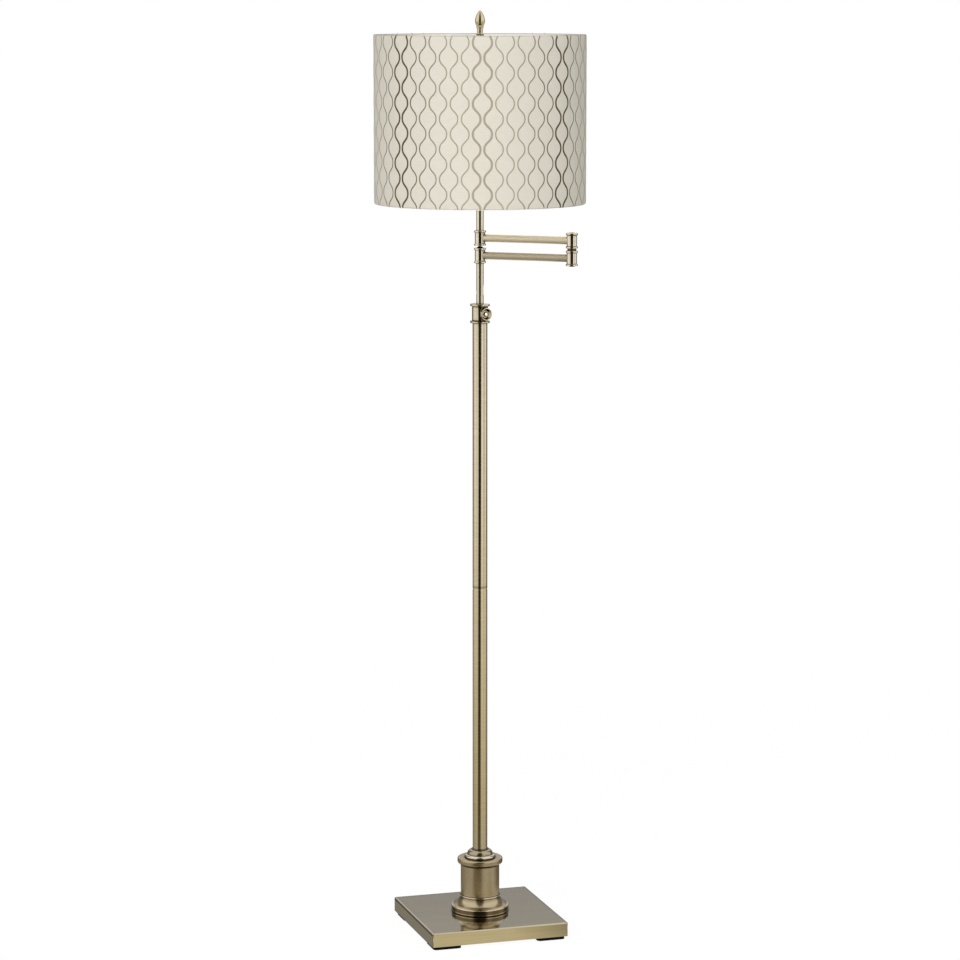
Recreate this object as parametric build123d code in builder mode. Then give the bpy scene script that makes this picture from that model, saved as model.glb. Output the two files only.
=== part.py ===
from build123d import *
import math
import os

# Swing arm floor lamp, in millimetres. +Z is up, the origin is on the floor below the pole, and the
# edges of the base lie along X and Y. The arms are folded back over each other.

# Directions seen from above, in degrees from +X
arm_angle = -39.0
screw_angle = -75.0

# Gaps shared by many pieces
running_gap = 0.05
thrust_gap = 0.05
seat_gap = 0.1
free_gap = 0.3
level_slack = 0.01

# Rubber pads under the base
pad_side = 49.0
pad_height = 6.0
pad_corner_radius = 6.0
pad_inset = 4.0

# Base
base_side = 242.0
base_height = 24.0
base_wall = 1.6
base_edge_radius = 2.2
base_corner_radius = 2.5
weight_side = 200.0
bottom_plate_thickness = 1.2
base_screw_diameter = 4.0
base_screw_length = 12.0
base_screw_head_diameter = 8.0
base_screw_head_height = 2.4
base_screw_inset = 20.0
base_screw_count = 4

# Cord bushing in the rear wall of the base
bushing_bore = 7.0
bushing_wall = 2.5
bushing_lip = 2.5
bushing_lip_thickness = 2.0
bushing_tail = 6.0

# Threaded pipe that ties the base, the pedestal and the pole together
tie_diameter = 9.6
tie_wall = 1.5
tie_hole_gap = 0.4
tie_nut_size = 16.0
tie_nut_sides = 6
tie_nut_height = 6.0
tie_washer_diameter = 28.0
tie_washer_thickness = 1.6
tie_tail = 1.5
tie_recess_gap = 1.5
plug_length = 18.0

# Pedestal
pedestal_wall = 2.5
pedestal_foot_diameter = 99.0
pedestal_foot_band = 11.0
pedestal_foot_ledge = 2.4
pedestal_foot_step = 1.0
pedestal_edge_radius = 1.2
flare_height = 15.0
flare_dip = 2.0
bead_height = 3.8
bead_bulge = 1.4
spigot_height = 4.0
sleeve_diameter = 66.8
sleeve_wall = 2.0
sleeve_height = 52.2
cap_height = 12.6
cap_lip = 5.6
cap_cove_height = 5.4
cap_cove_dip = 1.4
cap_groove_height = 1.8
cap_groove_depth = 1.2
cap_web = 5.0
cap_rim_radius = 2.6
dome_diameter = 54.5
dome_step_height = 5.6
dome_step_width = 4.4
dome_step_radius = 5.9
dome_groove = 0.8
dome_height = 15.4
dome_lip_width = 1.6
dome_lip_height = 1.4
dome_swell = 2.4

# Pole
pole_diameter = 25.4
pole_wall = 1.2
pole_lower_length = 469.6
pole_upper_length = 464.4
pole_ring_height = 4.0
pole_ring_step = 0.35
coupling_spigot = 18.0
coupling_wall = 3.0

# Clamp collar and its guide bush
collar_height = 32.0
collar_wall = 0.95
collar_flange_lip = 3.2
collar_flange_thickness = 3.2
collar_flange_slope = 0.8
collar_flange_radius = 0.9
collar_socket_depth = 9.5
collar_lid = 2.0
bush_wall = 3.1

# Thumb screw
stud_diameter = 6.0
stud_grip = 2.0
tip_diameter = 4.6
tip_length = 2.0
knob_diameter = 21.0
knob_hub_diameter = 14.0
knob_depth = 7.6
knob_flare_depth = 3.4
knob_floor = 2.8
knob_rim = 1.1
knob_dish_slope = 3.8
knob_button_diameter = 5.0
knob_button_height = 2.2
knob_gap = 0.7
knob_edge_radius = 0.5

# Inner pole
mast_diameter = 12.7
mast_wall = 1.55
mast_length = 470.0
mast_shown = 68.4
mast_guide_height = 15.0
nipple_wall = 1.5
nipple_grip = 15.0

# Knuckles and arms
knuckle_diameter = 17.5
knuckle_height = 25.4
knuckle_gap = 4.0
knuckle_flange_lip = 1.35
knuckle_flange_thickness = 2.8
knuckle_flange_slope = 0.9
knuckle_flange_radius = 0.7
knuckle_bore_wall = 1.65
knuckle_blind_depth = 20.0
pivot_washer_diameter = 16.0
pivot_washer_thickness = 0.8
end_cap_diameter = 13.0
pivot_cap_top_diameter = 4.6
pivot_cap_height = 3.0
pivot_cap_bore = 0.6
arm_length = 165.1
arm_diameter = 12.7
arm_wall = 1.2
elbow_washer_inset = 1.2
elbow_cap_height = 1.2
elbow_cap_top_diameter = 9.0
elbow_cap_floor = 1.0

# Stem and harp
stem_length = 94.6
saddle_width = 12.0
saddle_thickness = 1.5
saddle_span = 60.0
saddle_peg_height = 20.0
harp_wire = 4.0
harp_height = 228.6
harp_width = 116.0
harp_straight = 10.0
harp_swell_height = 110.0
harp_shoulder_inset = 14.0
harp_shoulder_drop = 30.0
harp_seat_diameter = 16.0
harp_seat_height = 4.0
harp_seat_grip = 1.0
harp_stud_diameter = 6.35
harp_stud_length = 11.0
ferrule_wall = 1.6
ferrule_length = 16.0

# Socket
socket_cap_height = 24.0
socket_cap_foot_diameter = 22.0
socket_cap_wall = 1.0
socket_cap_overlap = 6.0
socket_shell_diameter = 32.0
socket_shell_wall = 0.7
socket_shell_length = 40.0
socket_liner_wall = 1.0
socket_core_height = 18.0
screw_shell_wall = 0.5
screw_shell_length = 21.0
switch_shaft_diameter = 4.4
switch_shaft_depth = 7.0
switch_knob_diameter = 11.0
switch_knob_length = 11.0
switch_knob_gap = 4.0
switch_knob_round = 1.0
switch_flute_count = 8
switch_flute_radius = 1.0

# Bulb
bulb_diameter = 60.0
bulb_base_diameter = 26.2
bulb_base_length = 24.0
bulb_base_wall = 0.6
bulb_base_cone = 6.0
bulb_contact_diameter = 8.8
bulb_neck_length = 14.0
bulb_glass_wall = 1.0
bulb_cone_angle = 30.0

# Shade
shade_diameter = 355.6
shade_height = 282.0
shade_cloth = 0.7
shade_liner_thickness = 0.6
shade_wire = 4.0
shade_hem_width = 5.4
spider_hub_diameter = 26.0
spider_hub_thickness = 2.0
spider_arm_diameter = 4.0
spider_arm_start = 9.5
spider_first_arm = 90.0
spider_arm_count = 3

# Finial
finial_height = 42.0
finial_diameter = 16.6
finial_base_diameter = 13.4
finial_base_height = 2.6
finial_neck_diameter = 10.0
finial_cove_height = 2.0
finial_neck_height = 7.0
finial_ring_diameter = 12.4
finial_ring_height = 2.6
finial_waist_diameter = 11.2
finial_belly_height = 9.4
finial_tip_diameter = 3.0
finial_tip_rise = 0.75
finial_hole_gap = 0.1

# Radii
tie_radius = tie_diameter / 2
tie_hole_radius = tie_radius + tie_hole_gap
sleeve_radius = sleeve_diameter / 2
sleeve_bore_radius = sleeve_radius - sleeve_wall
spigot_radius = sleeve_bore_radius - seat_gap
pole_radius = pole_diameter / 2
pole_bore_radius = pole_radius - pole_wall
mast_radius = mast_diameter / 2
nipple_radius = mast_radius - mast_wall
bush_radius = mast_radius + bush_wall
collar_radius = pole_radius + collar_wall
knuckle_radius = knuckle_diameter / 2
knuckle_seat = nipple_radius + knuckle_bore_wall
arm_radius = arm_diameter / 2
stud_radius = stud_diameter / 2
shell_radius = socket_shell_diameter / 2
liner_radius = shell_radius - socket_shell_wall
core_radius = liner_radius - socket_liner_wall
bulb_base_radius = bulb_base_diameter / 2
shade_radius = shade_diameter / 2
shade_liner_radius = shade_radius - shade_cloth
shade_wire_track = shade_liner_radius - shade_liner_thickness - shade_wire / 2

# Heights, from the floor up
base_bottom = pad_height
base_top = base_bottom + base_height
weight_bottom = base_bottom + bottom_plate_thickness
weight_top = base_top - base_wall
recess_depth = tie_washer_thickness + tie_nut_height + tie_tail + tie_recess_gap
recess_top = weight_bottom + recess_depth
sleeve_bottom = base_top + pedestal_foot_band + flare_height + bead_height
sleeve_top = sleeve_bottom + sleeve_height
pole_bottom = sleeve_top + cap_height
ring_bottom = pole_bottom + pole_lower_length
ring_top = ring_bottom + pole_ring_height
pole_top = ring_top + pole_upper_length
collar_bottom = pole_top - collar_socket_depth
collar_top = collar_bottom + collar_height
screw_level = collar_bottom + collar_height / 2
mast_top = collar_top + mast_shown
mast_bottom = mast_top - mast_length
lower_knuckle_bottom = mast_top + pivot_washer_thickness + thrust_gap
lower_knuckle_top = lower_knuckle_bottom + knuckle_height
upper_knuckle_bottom = lower_knuckle_top + knuckle_gap
upper_knuckle_top = upper_knuckle_bottom + knuckle_height
stem_top = upper_knuckle_top + stem_length
saddle_top = stem_top + saddle_thickness
harp_foot = stem_top + saddle_peg_height
harp_top = stem_top + harp_height
shell_bottom = saddle_top + socket_cap_height - socket_cap_overlap
shell_top = shell_bottom + socket_shell_length
core_top = shell_bottom + socket_core_height
switch_level = shell_bottom + (socket_cap_overlap + socket_core_height) / 2
bulb_base_top = core_top + bulb_base_length
hub_top = harp_top + spider_hub_thickness
shade_wire_top_level = hub_top - spider_hub_thickness / 2
shade_top = shade_wire_top_level + shade_wire / 2 + seat_gap + shade_cloth
shade_bottom = shade_top - shade_height
shade_wire_bottom_level = shade_bottom + shade_cloth + seat_gap + shade_wire / 2

# Axes and section planes
arm_turn = math.radians(arm_angle)
arm_way = Vector(math.cos(arm_turn), math.sin(arm_turn), 0)
elbow = arm_way * arm_length
elbow_axis = Axis((elbow.X, elbow.Y, 0), (0, 0, 1))
screw_turn = math.radians(screw_angle)
screw_way = Vector(math.cos(screw_turn), math.sin(screw_turn), 0)
screw_point = Vector(0, 0, screw_level)
screw_axis = Axis(screw_point, screw_way)
switch_axis = Axis((0, 0, switch_level), (0, 1, 0))


def upright(x=0, y=0, z=0):
    # Section plane through a vertical axis: radius across, height up from z.
    return Plane(origin=(x, y, z), x_dir=(1, 0, 0), z_dir=(0, -1, 0))


def lying(axis):
    # Section plane through a level axis: radius up, distance along the axis.
    return Plane(origin=axis.position, x_dir=(0, 0, 1), z_dir=Vector(0, 0, 1).cross(axis.direction))


def across(point, way):
    # Plane square to a level direction.
    return Plane(origin=point, x_dir=Vector(0, 0, 1).cross(way), z_dir=way)


def turned(*outline, plane=Plane.XZ):
    # Half section of a turned piece, as corners of radius and height.
    with BuildSketch(plane) as section:
        with BuildLine():
            Polyline(*outline, close=True)
        make_face()
    return section.sketch.face()


def ring(outer, inner, low, high, plane=Plane.XZ):
    # Half section of a tube, washer or bush.
    return turned((inner, low), (outer, low), (outer, high), (inner, high), plane=plane)


def rim_edge(piece, height):
    # The widest round edge at one height.
    circles = piece.edges().filter_by(GeomType.CIRCLE)
    level = circles.filter_by_position(Axis.Z, height - level_slack, height + level_slack)
    return level.sort_by(SortBy.RADIUS)[-1]


# Rubber pads
pad_spread = base_side - 2 * pad_inset - pad_side

with BuildPart() as rubber_pads:
    with BuildSketch():
        with GridLocations(pad_spread, pad_spread, 2, 2):
            RectangleRounded(pad_side, pad_side, pad_corner_radius)
    extrude(amount=pad_height)

# Base cover, open underneath
cover_inside = base_side - 2 * base_wall
bushing_radius = bushing_bore / 2 + bushing_wall
bushing_axis = Axis((0, base_side / 2, base_bottom + base_height / 2), (0, 1, 0))

with BuildPart() as base_cover:
    with BuildSketch(Plane.XY.offset(base_bottom)):
        RectangleRounded(base_side, base_side, base_corner_radius)
    extrude(amount=base_height)
    fillet(base_cover.faces().sort_by(Axis.Z)[-1].edges(), base_edge_radius)
    with BuildSketch(Plane.XY.offset(base_bottom)):
        RectangleRounded(cover_inside, cover_inside, base_corner_radius - base_wall)
    extrude(amount=base_height - base_wall, mode=Mode.SUBTRACT)
    with BuildSketch(Plane.XY.offset(weight_top)):
        Circle(tie_hole_radius)
    extrude(amount=base_wall, mode=Mode.SUBTRACT)
    revolve(ring(bushing_radius, 0, -bushing_tail, bushing_tail, lying(bushing_axis)), bushing_axis,
            mode=Mode.SUBTRACT)

# Cast weight on the bottom plate
screw_reach = weight_side / 2 - base_screw_inset

with BuildPart() as base_weight:
    with BuildSketch(Plane.XY.offset(weight_bottom)):
        RectangleRounded(weight_side, weight_side, base_corner_radius)
        Circle(tie_hole_radius, mode=Mode.SUBTRACT)
    extrude(amount=weight_top - weight_bottom)
    with BuildSketch(Plane.XY.offset(weight_bottom)):
        Circle(tie_washer_diameter / 2 + tie_recess_gap)
    extrude(amount=recess_depth, mode=Mode.SUBTRACT)
    with BuildSketch(Plane.XY.offset(weight_bottom)):
        with PolarLocations(screw_reach, base_screw_count):
            Circle(base_screw_diameter / 2)
    extrude(amount=base_screw_length - bottom_plate_thickness, mode=Mode.SUBTRACT)

with BuildPart() as bottom_plate:
    with BuildSketch(Plane.XY.offset(base_bottom)):
        RectangleRounded(cover_inside - 2 * seat_gap, cover_inside - 2 * seat_gap,
                         base_corner_radius - base_wall)
        with PolarLocations(screw_reach, base_screw_count):
            Circle(base_screw_diameter / 2, mode=Mode.SUBTRACT)
    extrude(amount=bottom_plate_thickness)

with BuildPart() as base_screws:
    with BuildSketch(Plane.XY.offset(base_bottom)):
        with PolarLocations(screw_reach, base_screw_count):
            Circle(base_screw_diameter / 2)
    extrude(amount=base_screw_length)
    with BuildSketch(Plane.XY.offset(base_bottom)):
        with PolarLocations(screw_reach, base_screw_count):
            Circle(base_screw_head_diameter / 2)
    extrude(amount=-base_screw_head_height)

with BuildPart() as cord_bushing:
    bushing_section = lying(bushing_axis)
    lip_radius = bushing_radius + bushing_lip
    revolve(turned((bushing_bore / 2, -bushing_tail), (bushing_radius, -bushing_tail), (bushing_radius, 0),
                   (lip_radius, 0), (lip_radius, bushing_lip_thickness),
                   (bushing_bore / 2, bushing_lip_thickness), plane=bushing_section), bushing_axis)

# Tie pipe with its washer and nut
tie_washer_bottom = recess_top - tie_washer_thickness
tie_nut_bottom = tie_washer_bottom - tie_nut_height

with BuildPart() as tie_pipe:
    revolve(ring(tie_radius, tie_radius - tie_wall, tie_nut_bottom - tie_tail, pole_bottom + plug_length),
            Axis.Z)

with BuildPart() as tie_washer:
    revolve(ring(tie_washer_diameter / 2, tie_radius, tie_washer_bottom, recess_top), Axis.Z)

with BuildPart() as tie_nut:
    with BuildSketch(Plane.XY.offset(tie_nut_bottom)):
        RegularPolygon(tie_nut_size / 2, tie_nut_sides, major_radius=False)
        Circle(tie_radius, mode=Mode.SUBTRACT)
    extrude(amount=tie_nut_height)

# Pedestal: flared foot, sleeve, rimmed cap, domed ring
foot_radius = pedestal_foot_diameter / 2
flare_radius = foot_radius - pedestal_foot_ledge
band_top = pedestal_foot_band
flare_bottom = band_top + pedestal_foot_step
flare_top = band_top + flare_height
bead_top = flare_top + bead_height

with BuildPart() as pedestal_foot:
    with BuildSketch(upright(z=base_top)):
        with BuildLine():
            Polyline((foot_radius - pedestal_wall, 0), (foot_radius, 0), (foot_radius, band_top),
                     (flare_radius, band_top), (flare_radius, flare_bottom))
            SagittaArc((flare_radius, flare_bottom), (sleeve_radius, flare_top), flare_dip)
            ThreePointArc((sleeve_radius, flare_top),
                          (sleeve_radius + bead_bulge, (flare_top + bead_top) / 2),
                          (sleeve_radius, bead_top))
            Polyline((sleeve_radius, bead_top), (spigot_radius, bead_top),
                     (spigot_radius, bead_top + spigot_height),
                     (spigot_radius - pedestal_wall, bead_top + spigot_height),
                     (spigot_radius - pedestal_wall, band_top - pedestal_wall),
                     (foot_radius - pedestal_wall, band_top - pedestal_wall),
                     (foot_radius - pedestal_wall, 0))
        make_face()
    revolve(axis=Axis.Z)
    fillet(rim_edge(pedestal_foot, base_top + band_top), pedestal_edge_radius)

with BuildPart() as pedestal_sleeve:
    revolve(ring(sleeve_radius, sleeve_bore_radius, sleeve_bottom, sleeve_top), Axis.Z)

cap_radius = sleeve_radius + cap_lip
groove_radius = sleeve_radius - cap_groove_depth

with BuildPart() as pedestal_cap:
    with BuildSketch(upright(z=sleeve_top)):
        with BuildLine():
            Polyline((tie_hole_radius, cap_height - cap_web),
                     (spigot_radius - pedestal_wall, cap_height - cap_web),
                     (spigot_radius - pedestal_wall, -spigot_height), (spigot_radius, -spigot_height),
                     (spigot_radius, 0), (groove_radius, 0), (groove_radius, cap_groove_height),
                     (sleeve_radius, cap_groove_height))
            SagittaArc((sleeve_radius, cap_groove_height), (cap_radius, cap_cove_height), -cap_cove_dip)
            Polyline((cap_radius, cap_cove_height), (cap_radius, cap_height), (tie_hole_radius, cap_height),
                     (tie_hole_radius, cap_height - cap_web))
        make_face()
    revolve(axis=Axis.Z)
    fillet(rim_edge(pedestal_cap, pole_bottom), cap_rim_radius)
    fillet(rim_edge(pedestal_cap, sleeve_top + cap_cove_height), pedestal_edge_radius)

dome_radius = dome_diameter / 2
dome_shoulder = dome_radius - dome_step_width
dome_start = dome_shoulder - dome_groove
dome_lip_radius = pole_radius + dome_lip_width
dome_end = dome_height - dome_lip_height

with BuildPart() as pole_dome:
    with BuildSketch(upright(z=pole_bottom)):
        with BuildLine():
            Line((pole_radius + seat_gap, 0), (dome_radius, 0))
            RadiusArc((dome_radius, 0), (dome_shoulder, dome_step_height), -dome_step_radius)
            Line((dome_shoulder, dome_step_height), (dome_start, dome_step_height))
            SagittaArc((dome_start, dome_step_height), (dome_lip_radius, dome_end), -dome_swell)
            Polyline((dome_lip_radius, dome_end), (dome_lip_radius, dome_height),
                     (pole_radius + seat_gap, dome_height), (pole_radius + seat_gap, 0))
        make_face()
    revolve(axis=Axis.Z)

# Pole
with BuildPart() as pole_plug:
    revolve(ring(pole_bore_radius, tie_radius, pole_bottom, pole_bottom + plug_length), Axis.Z)

with BuildPart() as pole_lower:
    revolve(ring(pole_radius, pole_bore_radius, pole_bottom, ring_bottom), Axis.Z)

with BuildPart() as pole_coupling:
    ring_radius = pole_radius - pole_ring_step
    coupling_bore = pole_bore_radius - coupling_wall
    revolve(turned((coupling_bore, ring_bottom - coupling_spigot),
                   (pole_bore_radius, ring_bottom - coupling_spigot), (pole_bore_radius, ring_bottom),
                   (ring_radius, ring_bottom), (ring_radius, ring_top), (pole_bore_radius, ring_top),
                   (pole_bore_radius, ring_top + coupling_spigot),
                   (coupling_bore, ring_top + coupling_spigot)), Axis.Z)

with BuildPart() as pole_upper:
    revolve(ring(pole_radius, pole_bore_radius, ring_top, pole_top), Axis.Z)

# Clamp collar, with the guide bush inside it
flange_radius = collar_radius + collar_flange_lip
lower_flange_end = collar_flange_thickness + collar_flange_slope
upper_flange_end = collar_height - lower_flange_end
bush_top = collar_height - collar_lid
lid_radius = mast_radius + free_gap

with BuildPart() as clamp_collar:
    revolve(turned((pole_radius, 0), (flange_radius, 0), (flange_radius, collar_flange_thickness),
                   (collar_radius, lower_flange_end), (collar_radius, upper_flange_end),
                   (flange_radius, collar_height - collar_flange_thickness),
                   (flange_radius, collar_height), (lid_radius, collar_height), (lid_radius, bush_top),
                   (bush_radius, bush_top), (bush_radius, collar_socket_depth),
                   (pole_radius, collar_socket_depth), plane=upright(z=collar_bottom)), Axis.Z)
    for height in (0, collar_flange_thickness, collar_height - collar_flange_thickness, collar_height):
        fillet(rim_edge(clamp_collar, collar_bottom + height), collar_flange_radius)
    with BuildSketch(across(screw_point, screw_way)):
        Circle(stud_radius + running_gap)
    extrude(amount=flange_radius, mode=Mode.SUBTRACT)

with BuildPart() as guide_bush:
    revolve(ring(bush_radius, mast_radius + running_gap, collar_bottom + collar_socket_depth,
                 collar_bottom + bush_top), Axis.Z)
    with BuildSketch(across(screw_point, screw_way)):
        Circle(stud_radius + free_gap)
    extrude(amount=flange_radius, mode=Mode.SUBTRACT)

# Thumb screw: nylon tip, stud and dished knob
tip_start = mast_radius + running_gap
tip_end = tip_start + tip_length
knob_back = collar_radius + knob_gap
knob_radius = knob_diameter / 2
knob_floor_at = knob_back + knob_floor
knob_front = knob_back + knob_depth
button_radius = knob_button_diameter / 2
button_top = knob_floor_at + knob_button_height
dish_radius = knob_radius - knob_rim - knob_dish_slope
screw_section = lying(screw_axis)

with BuildPart() as screw_tip:
    revolve(ring(tip_diameter / 2, 0, tip_start, tip_end, screw_section), screw_axis)

with BuildPart() as thumb_stud:
    revolve(ring(stud_radius, 0, tip_end, knob_back + stud_grip, screw_section), screw_axis)

with BuildPart() as thumb_knob:
    revolve(turned((0, button_top), (0, knob_back + stud_grip), (stud_radius, knob_back + stud_grip),
                   (stud_radius, knob_back), (knob_hub_diameter / 2, knob_back),
                   (knob_radius, knob_back + knob_flare_depth), (knob_radius, knob_front),
                   (knob_radius - knob_rim, knob_front), (dish_radius, knob_floor_at),
                   (button_radius, knob_floor_at), (button_radius, button_top), plane=screw_section),
            screw_axis)
    knob_rings = thumb_knob.edges().filter_by(GeomType.CIRCLE).sort_by(SortBy.RADIUS)
    fillet(knob_rings[-3:], knob_edge_radius)

# Inner pole, with the guide ring at its foot and the pivot at its head
with BuildPart() as inner_pole:
    revolve(ring(mast_radius, nipple_radius, mast_bottom, mast_top), Axis.Z)

with BuildPart() as mast_guide:
    revolve(ring(pole_bore_radius - running_gap, mast_radius, mast_bottom, mast_bottom + mast_guide_height),
            Axis.Z)

with BuildPart() as pivot_washer:
    revolve(ring(pivot_washer_diameter / 2, nipple_radius, mast_top, mast_top + pivot_washer_thickness),
            Axis.Z)

pivot_cap_bottom = lower_knuckle_top + thrust_gap
pivot_cap_top = pivot_cap_bottom + pivot_cap_height
pivot_nipple_top = pivot_cap_bottom + pivot_cap_bore

with BuildPart() as pivot_nipple:
    revolve(ring(nipple_radius, nipple_radius - nipple_wall, mast_top - nipple_grip, pivot_nipple_top),
            Axis.Z)


def end_cap(face, tip, tip_diameter, floor, plane):
    # Half section of a low cap over a nipple's end, from its flat face to its tip.
    return turned((nipple_radius, face), (end_cap_diameter / 2, face), (tip_diameter / 2, tip), (0, tip),
                  (0, floor), (nipple_radius, floor), plane=plane)


with BuildPart() as pivot_cap:
    revolve(end_cap(pivot_cap_bottom, pivot_cap_top, pivot_cap_top_diameter, pivot_nipple_top, upright()),
            Axis.Z)


def knuckle(point, bottom, bore_radius, bore_bottom, way):
    # Flanged spool with an upright bore and a seat for an arm tube on one side.
    top = bottom + knuckle_height
    flange = knuckle_radius + knuckle_flange_lip
    flange_end = knuckle_flange_thickness + knuckle_flange_slope
    axis = Axis((point.X, point.Y, 0), (0, 0, 1))
    section = upright(point.X, point.Y)
    with BuildPart() as spool:
        revolve(turned((0, bottom), (flange, bottom), (flange, bottom + knuckle_flange_thickness),
                       (knuckle_radius, bottom + flange_end), (knuckle_radius, top - flange_end),
                       (flange, top - knuckle_flange_thickness), (flange, top), (0, top),
                       plane=section), axis)
        fillet([rim_edge(spool, bottom), rim_edge(spool, top)], knuckle_flange_radius)
        revolve(ring(bore_radius, 0, bore_bottom, top, section), axis, mode=Mode.SUBTRACT)
        with BuildSketch(across(point + way * knuckle_seat + Vector(0, 0, bottom + knuckle_height / 2), way)):
            Circle(arm_radius)
        extrude(amount=knuckle_radius, mode=Mode.SUBTRACT)
    return spool.part


def arm_tube(level):
    # Straight tube between two knuckle seats.
    with BuildPart() as tube:
        with BuildSketch(across(arm_way * knuckle_seat + Vector(0, 0, level), arm_way)):
            Circle(arm_radius)
            Circle(arm_radius - arm_wall, mode=Mode.SUBTRACT)
        extrude(amount=arm_length - 2 * knuckle_seat)
    return tube.part


# Swing arm: knuckles, arm tubes and the elbow's pivot
pole_point = Vector(0, 0, 0)
turning_bore = nipple_radius + running_gap
lower_knuckle = knuckle(pole_point, lower_knuckle_bottom, turning_bore, lower_knuckle_bottom, arm_way)
elbow_lower_knuckle = knuckle(elbow, lower_knuckle_bottom, nipple_radius, lower_knuckle_bottom, -arm_way)
elbow_upper_knuckle = knuckle(elbow, upper_knuckle_bottom, turning_bore, upper_knuckle_bottom, -arm_way)
upper_knuckle = knuckle(pole_point, upper_knuckle_bottom, nipple_radius,
                        upper_knuckle_top - knuckle_blind_depth, arm_way)
lower_arm_tube = arm_tube(lower_knuckle_bottom + knuckle_height / 2)
upper_arm_tube = arm_tube(upper_knuckle_bottom + knuckle_height / 2)

elbow_section = upright(elbow.X, elbow.Y)
elbow_top_face = upper_knuckle_top + thrust_gap
elbow_tip_top = elbow_top_face + elbow_cap_height
elbow_tip_bottom = lower_knuckle_bottom - elbow_cap_height
elbow_nipple_top = elbow_tip_top - elbow_cap_floor
elbow_nipple_bottom = elbow_tip_bottom + elbow_cap_floor

with BuildPart() as elbow_nipple:
    revolve(ring(nipple_radius, nipple_radius - nipple_wall, elbow_nipple_bottom, elbow_nipple_top,
                 elbow_section), elbow_axis)

with BuildPart() as elbow_washer:
    revolve(ring(knuckle_radius - elbow_washer_inset, nipple_radius, lower_knuckle_top,
                 upper_knuckle_bottom - thrust_gap, elbow_section), elbow_axis)

with BuildPart() as elbow_top_cap:
    revolve(end_cap(elbow_top_face, elbow_tip_top, elbow_cap_top_diameter, elbow_nipple_top, elbow_section),
            elbow_axis)

with BuildPart() as elbow_bottom_cap:
    revolve(end_cap(lower_knuckle_bottom, elbow_tip_bottom, elbow_cap_top_diameter, elbow_nipple_bottom,
                    elbow_section), elbow_axis)

# Stem between the upper knuckle and the socket
with BuildPart() as stem_tube:
    revolve(ring(mast_radius, nipple_radius, upper_knuckle_top, stem_top), Axis.Z)

with BuildPart() as stem_nipple:
    revolve(ring(nipple_radius, nipple_radius - nipple_wall, upper_knuckle_top - nipple_grip,
                 upper_knuckle_top + nipple_grip), Axis.Z)

with BuildPart() as socket_nipple:
    revolve(ring(nipple_radius, nipple_radius - nipple_wall, stem_top - nipple_grip,
                 saddle_top + socket_cap_wall + nipple_wall), Axis.Z)

# Harp, its saddle and ferrules
wire_radius = harp_wire / 2
harp_belly = harp_width / 2
harp_side = saddle_span / 2
harp_seat_bottom = harp_top - harp_seat_height
harp_seat_radius = harp_seat_diameter / 2

with BuildPart() as harp_saddle:
    with BuildSketch(Plane.XY.offset(stem_top)):
        SlotCenterToCenter(saddle_span, saddle_width)
        Circle(nipple_radius, mode=Mode.SUBTRACT)
    extrude(amount=saddle_thickness)
    with BuildSketch(Plane.XY.offset(stem_top)):
        with GridLocations(saddle_span, 1, 2, 1):
            Circle(wire_radius)
    extrude(amount=saddle_peg_height)

with BuildPart() as harp_ferrules:
    with BuildSketch(Plane.XY.offset(harp_foot - ferrule_length / 2)):
        with GridLocations(saddle_span, 1, 2, 1):
            Circle(wire_radius + ferrule_wall)
            Circle(wire_radius, mode=Mode.SUBTRACT)
    extrude(amount=ferrule_length)

with BuildPart() as harp:
    with BuildLine(Plane.XZ):
        foot = (harp_side, harp_foot)
        bend = (harp_side, harp_foot + harp_straight)
        belly = (harp_belly, harp_foot + harp_swell_height)
        middle = ((bend[0] + belly[0]) / 2, (bend[1] + belly[1]) / 2)
        shoulder = (harp_belly - harp_shoulder_inset, harp_seat_bottom + wire_radius - harp_shoulder_drop)
        head = (harp_seat_radius - harp_seat_grip, harp_seat_bottom + wire_radius)
        straight = Line(foot, bend)
        swell_out = TangentArc(bend, middle, tangent=straight % 1)
        swell_up = TangentArc(middle, belly, tangent=swell_out % 1)
        lean_in = TangentArc(belly, shoulder, tangent=swell_up % 1)
        TangentArc(shoulder, head, tangent=lean_in % 1)
    with BuildSketch(Plane(origin=(harp_side, 0, harp_foot))):
        Circle(wire_radius)
    sweep()
    mirror(about=Plane.YZ)
    revolve(turned((0, harp_seat_bottom), (harp_seat_radius, harp_seat_bottom), (harp_seat_radius, harp_top),
                   (harp_stud_diameter / 2, harp_top), (harp_stud_diameter / 2, harp_top + harp_stud_length),
                   (0, harp_top + harp_stud_length)), Axis.Z)

# Socket: cap, shell, insulating liner, core and screw shell
cap_foot_radius = socket_cap_foot_diameter / 2
cap_mouth_radius = shell_radius + socket_cap_wall
cap_mouth_bottom = shell_bottom - socket_cap_wall

with BuildPart() as socket_cap:
    revolve(turned((nipple_radius, saddle_top), (cap_foot_radius, saddle_top),
                   (cap_mouth_radius, cap_mouth_bottom), (cap_mouth_radius, saddle_top + socket_cap_height),
                   (shell_radius, saddle_top + socket_cap_height), (shell_radius, shell_bottom),
                   (cap_foot_radius - socket_cap_wall, saddle_top + socket_cap_wall),
                   (nipple_radius, saddle_top + socket_cap_wall)), Axis.Z)


def switch_hole(radius, depth):
    # Section of the hole that the switch shaft passes through.
    return ring(radius, 0, depth, cap_mouth_radius, lying(switch_axis))


switch_radius = switch_shaft_diameter / 2
switch_bottom = core_radius - switch_shaft_depth

with BuildPart() as socket_shell:
    revolve(ring(shell_radius, liner_radius, shell_bottom, shell_top), Axis.Z)
    revolve(switch_hole(switch_radius + free_gap, switch_bottom), switch_axis, mode=Mode.SUBTRACT)

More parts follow.
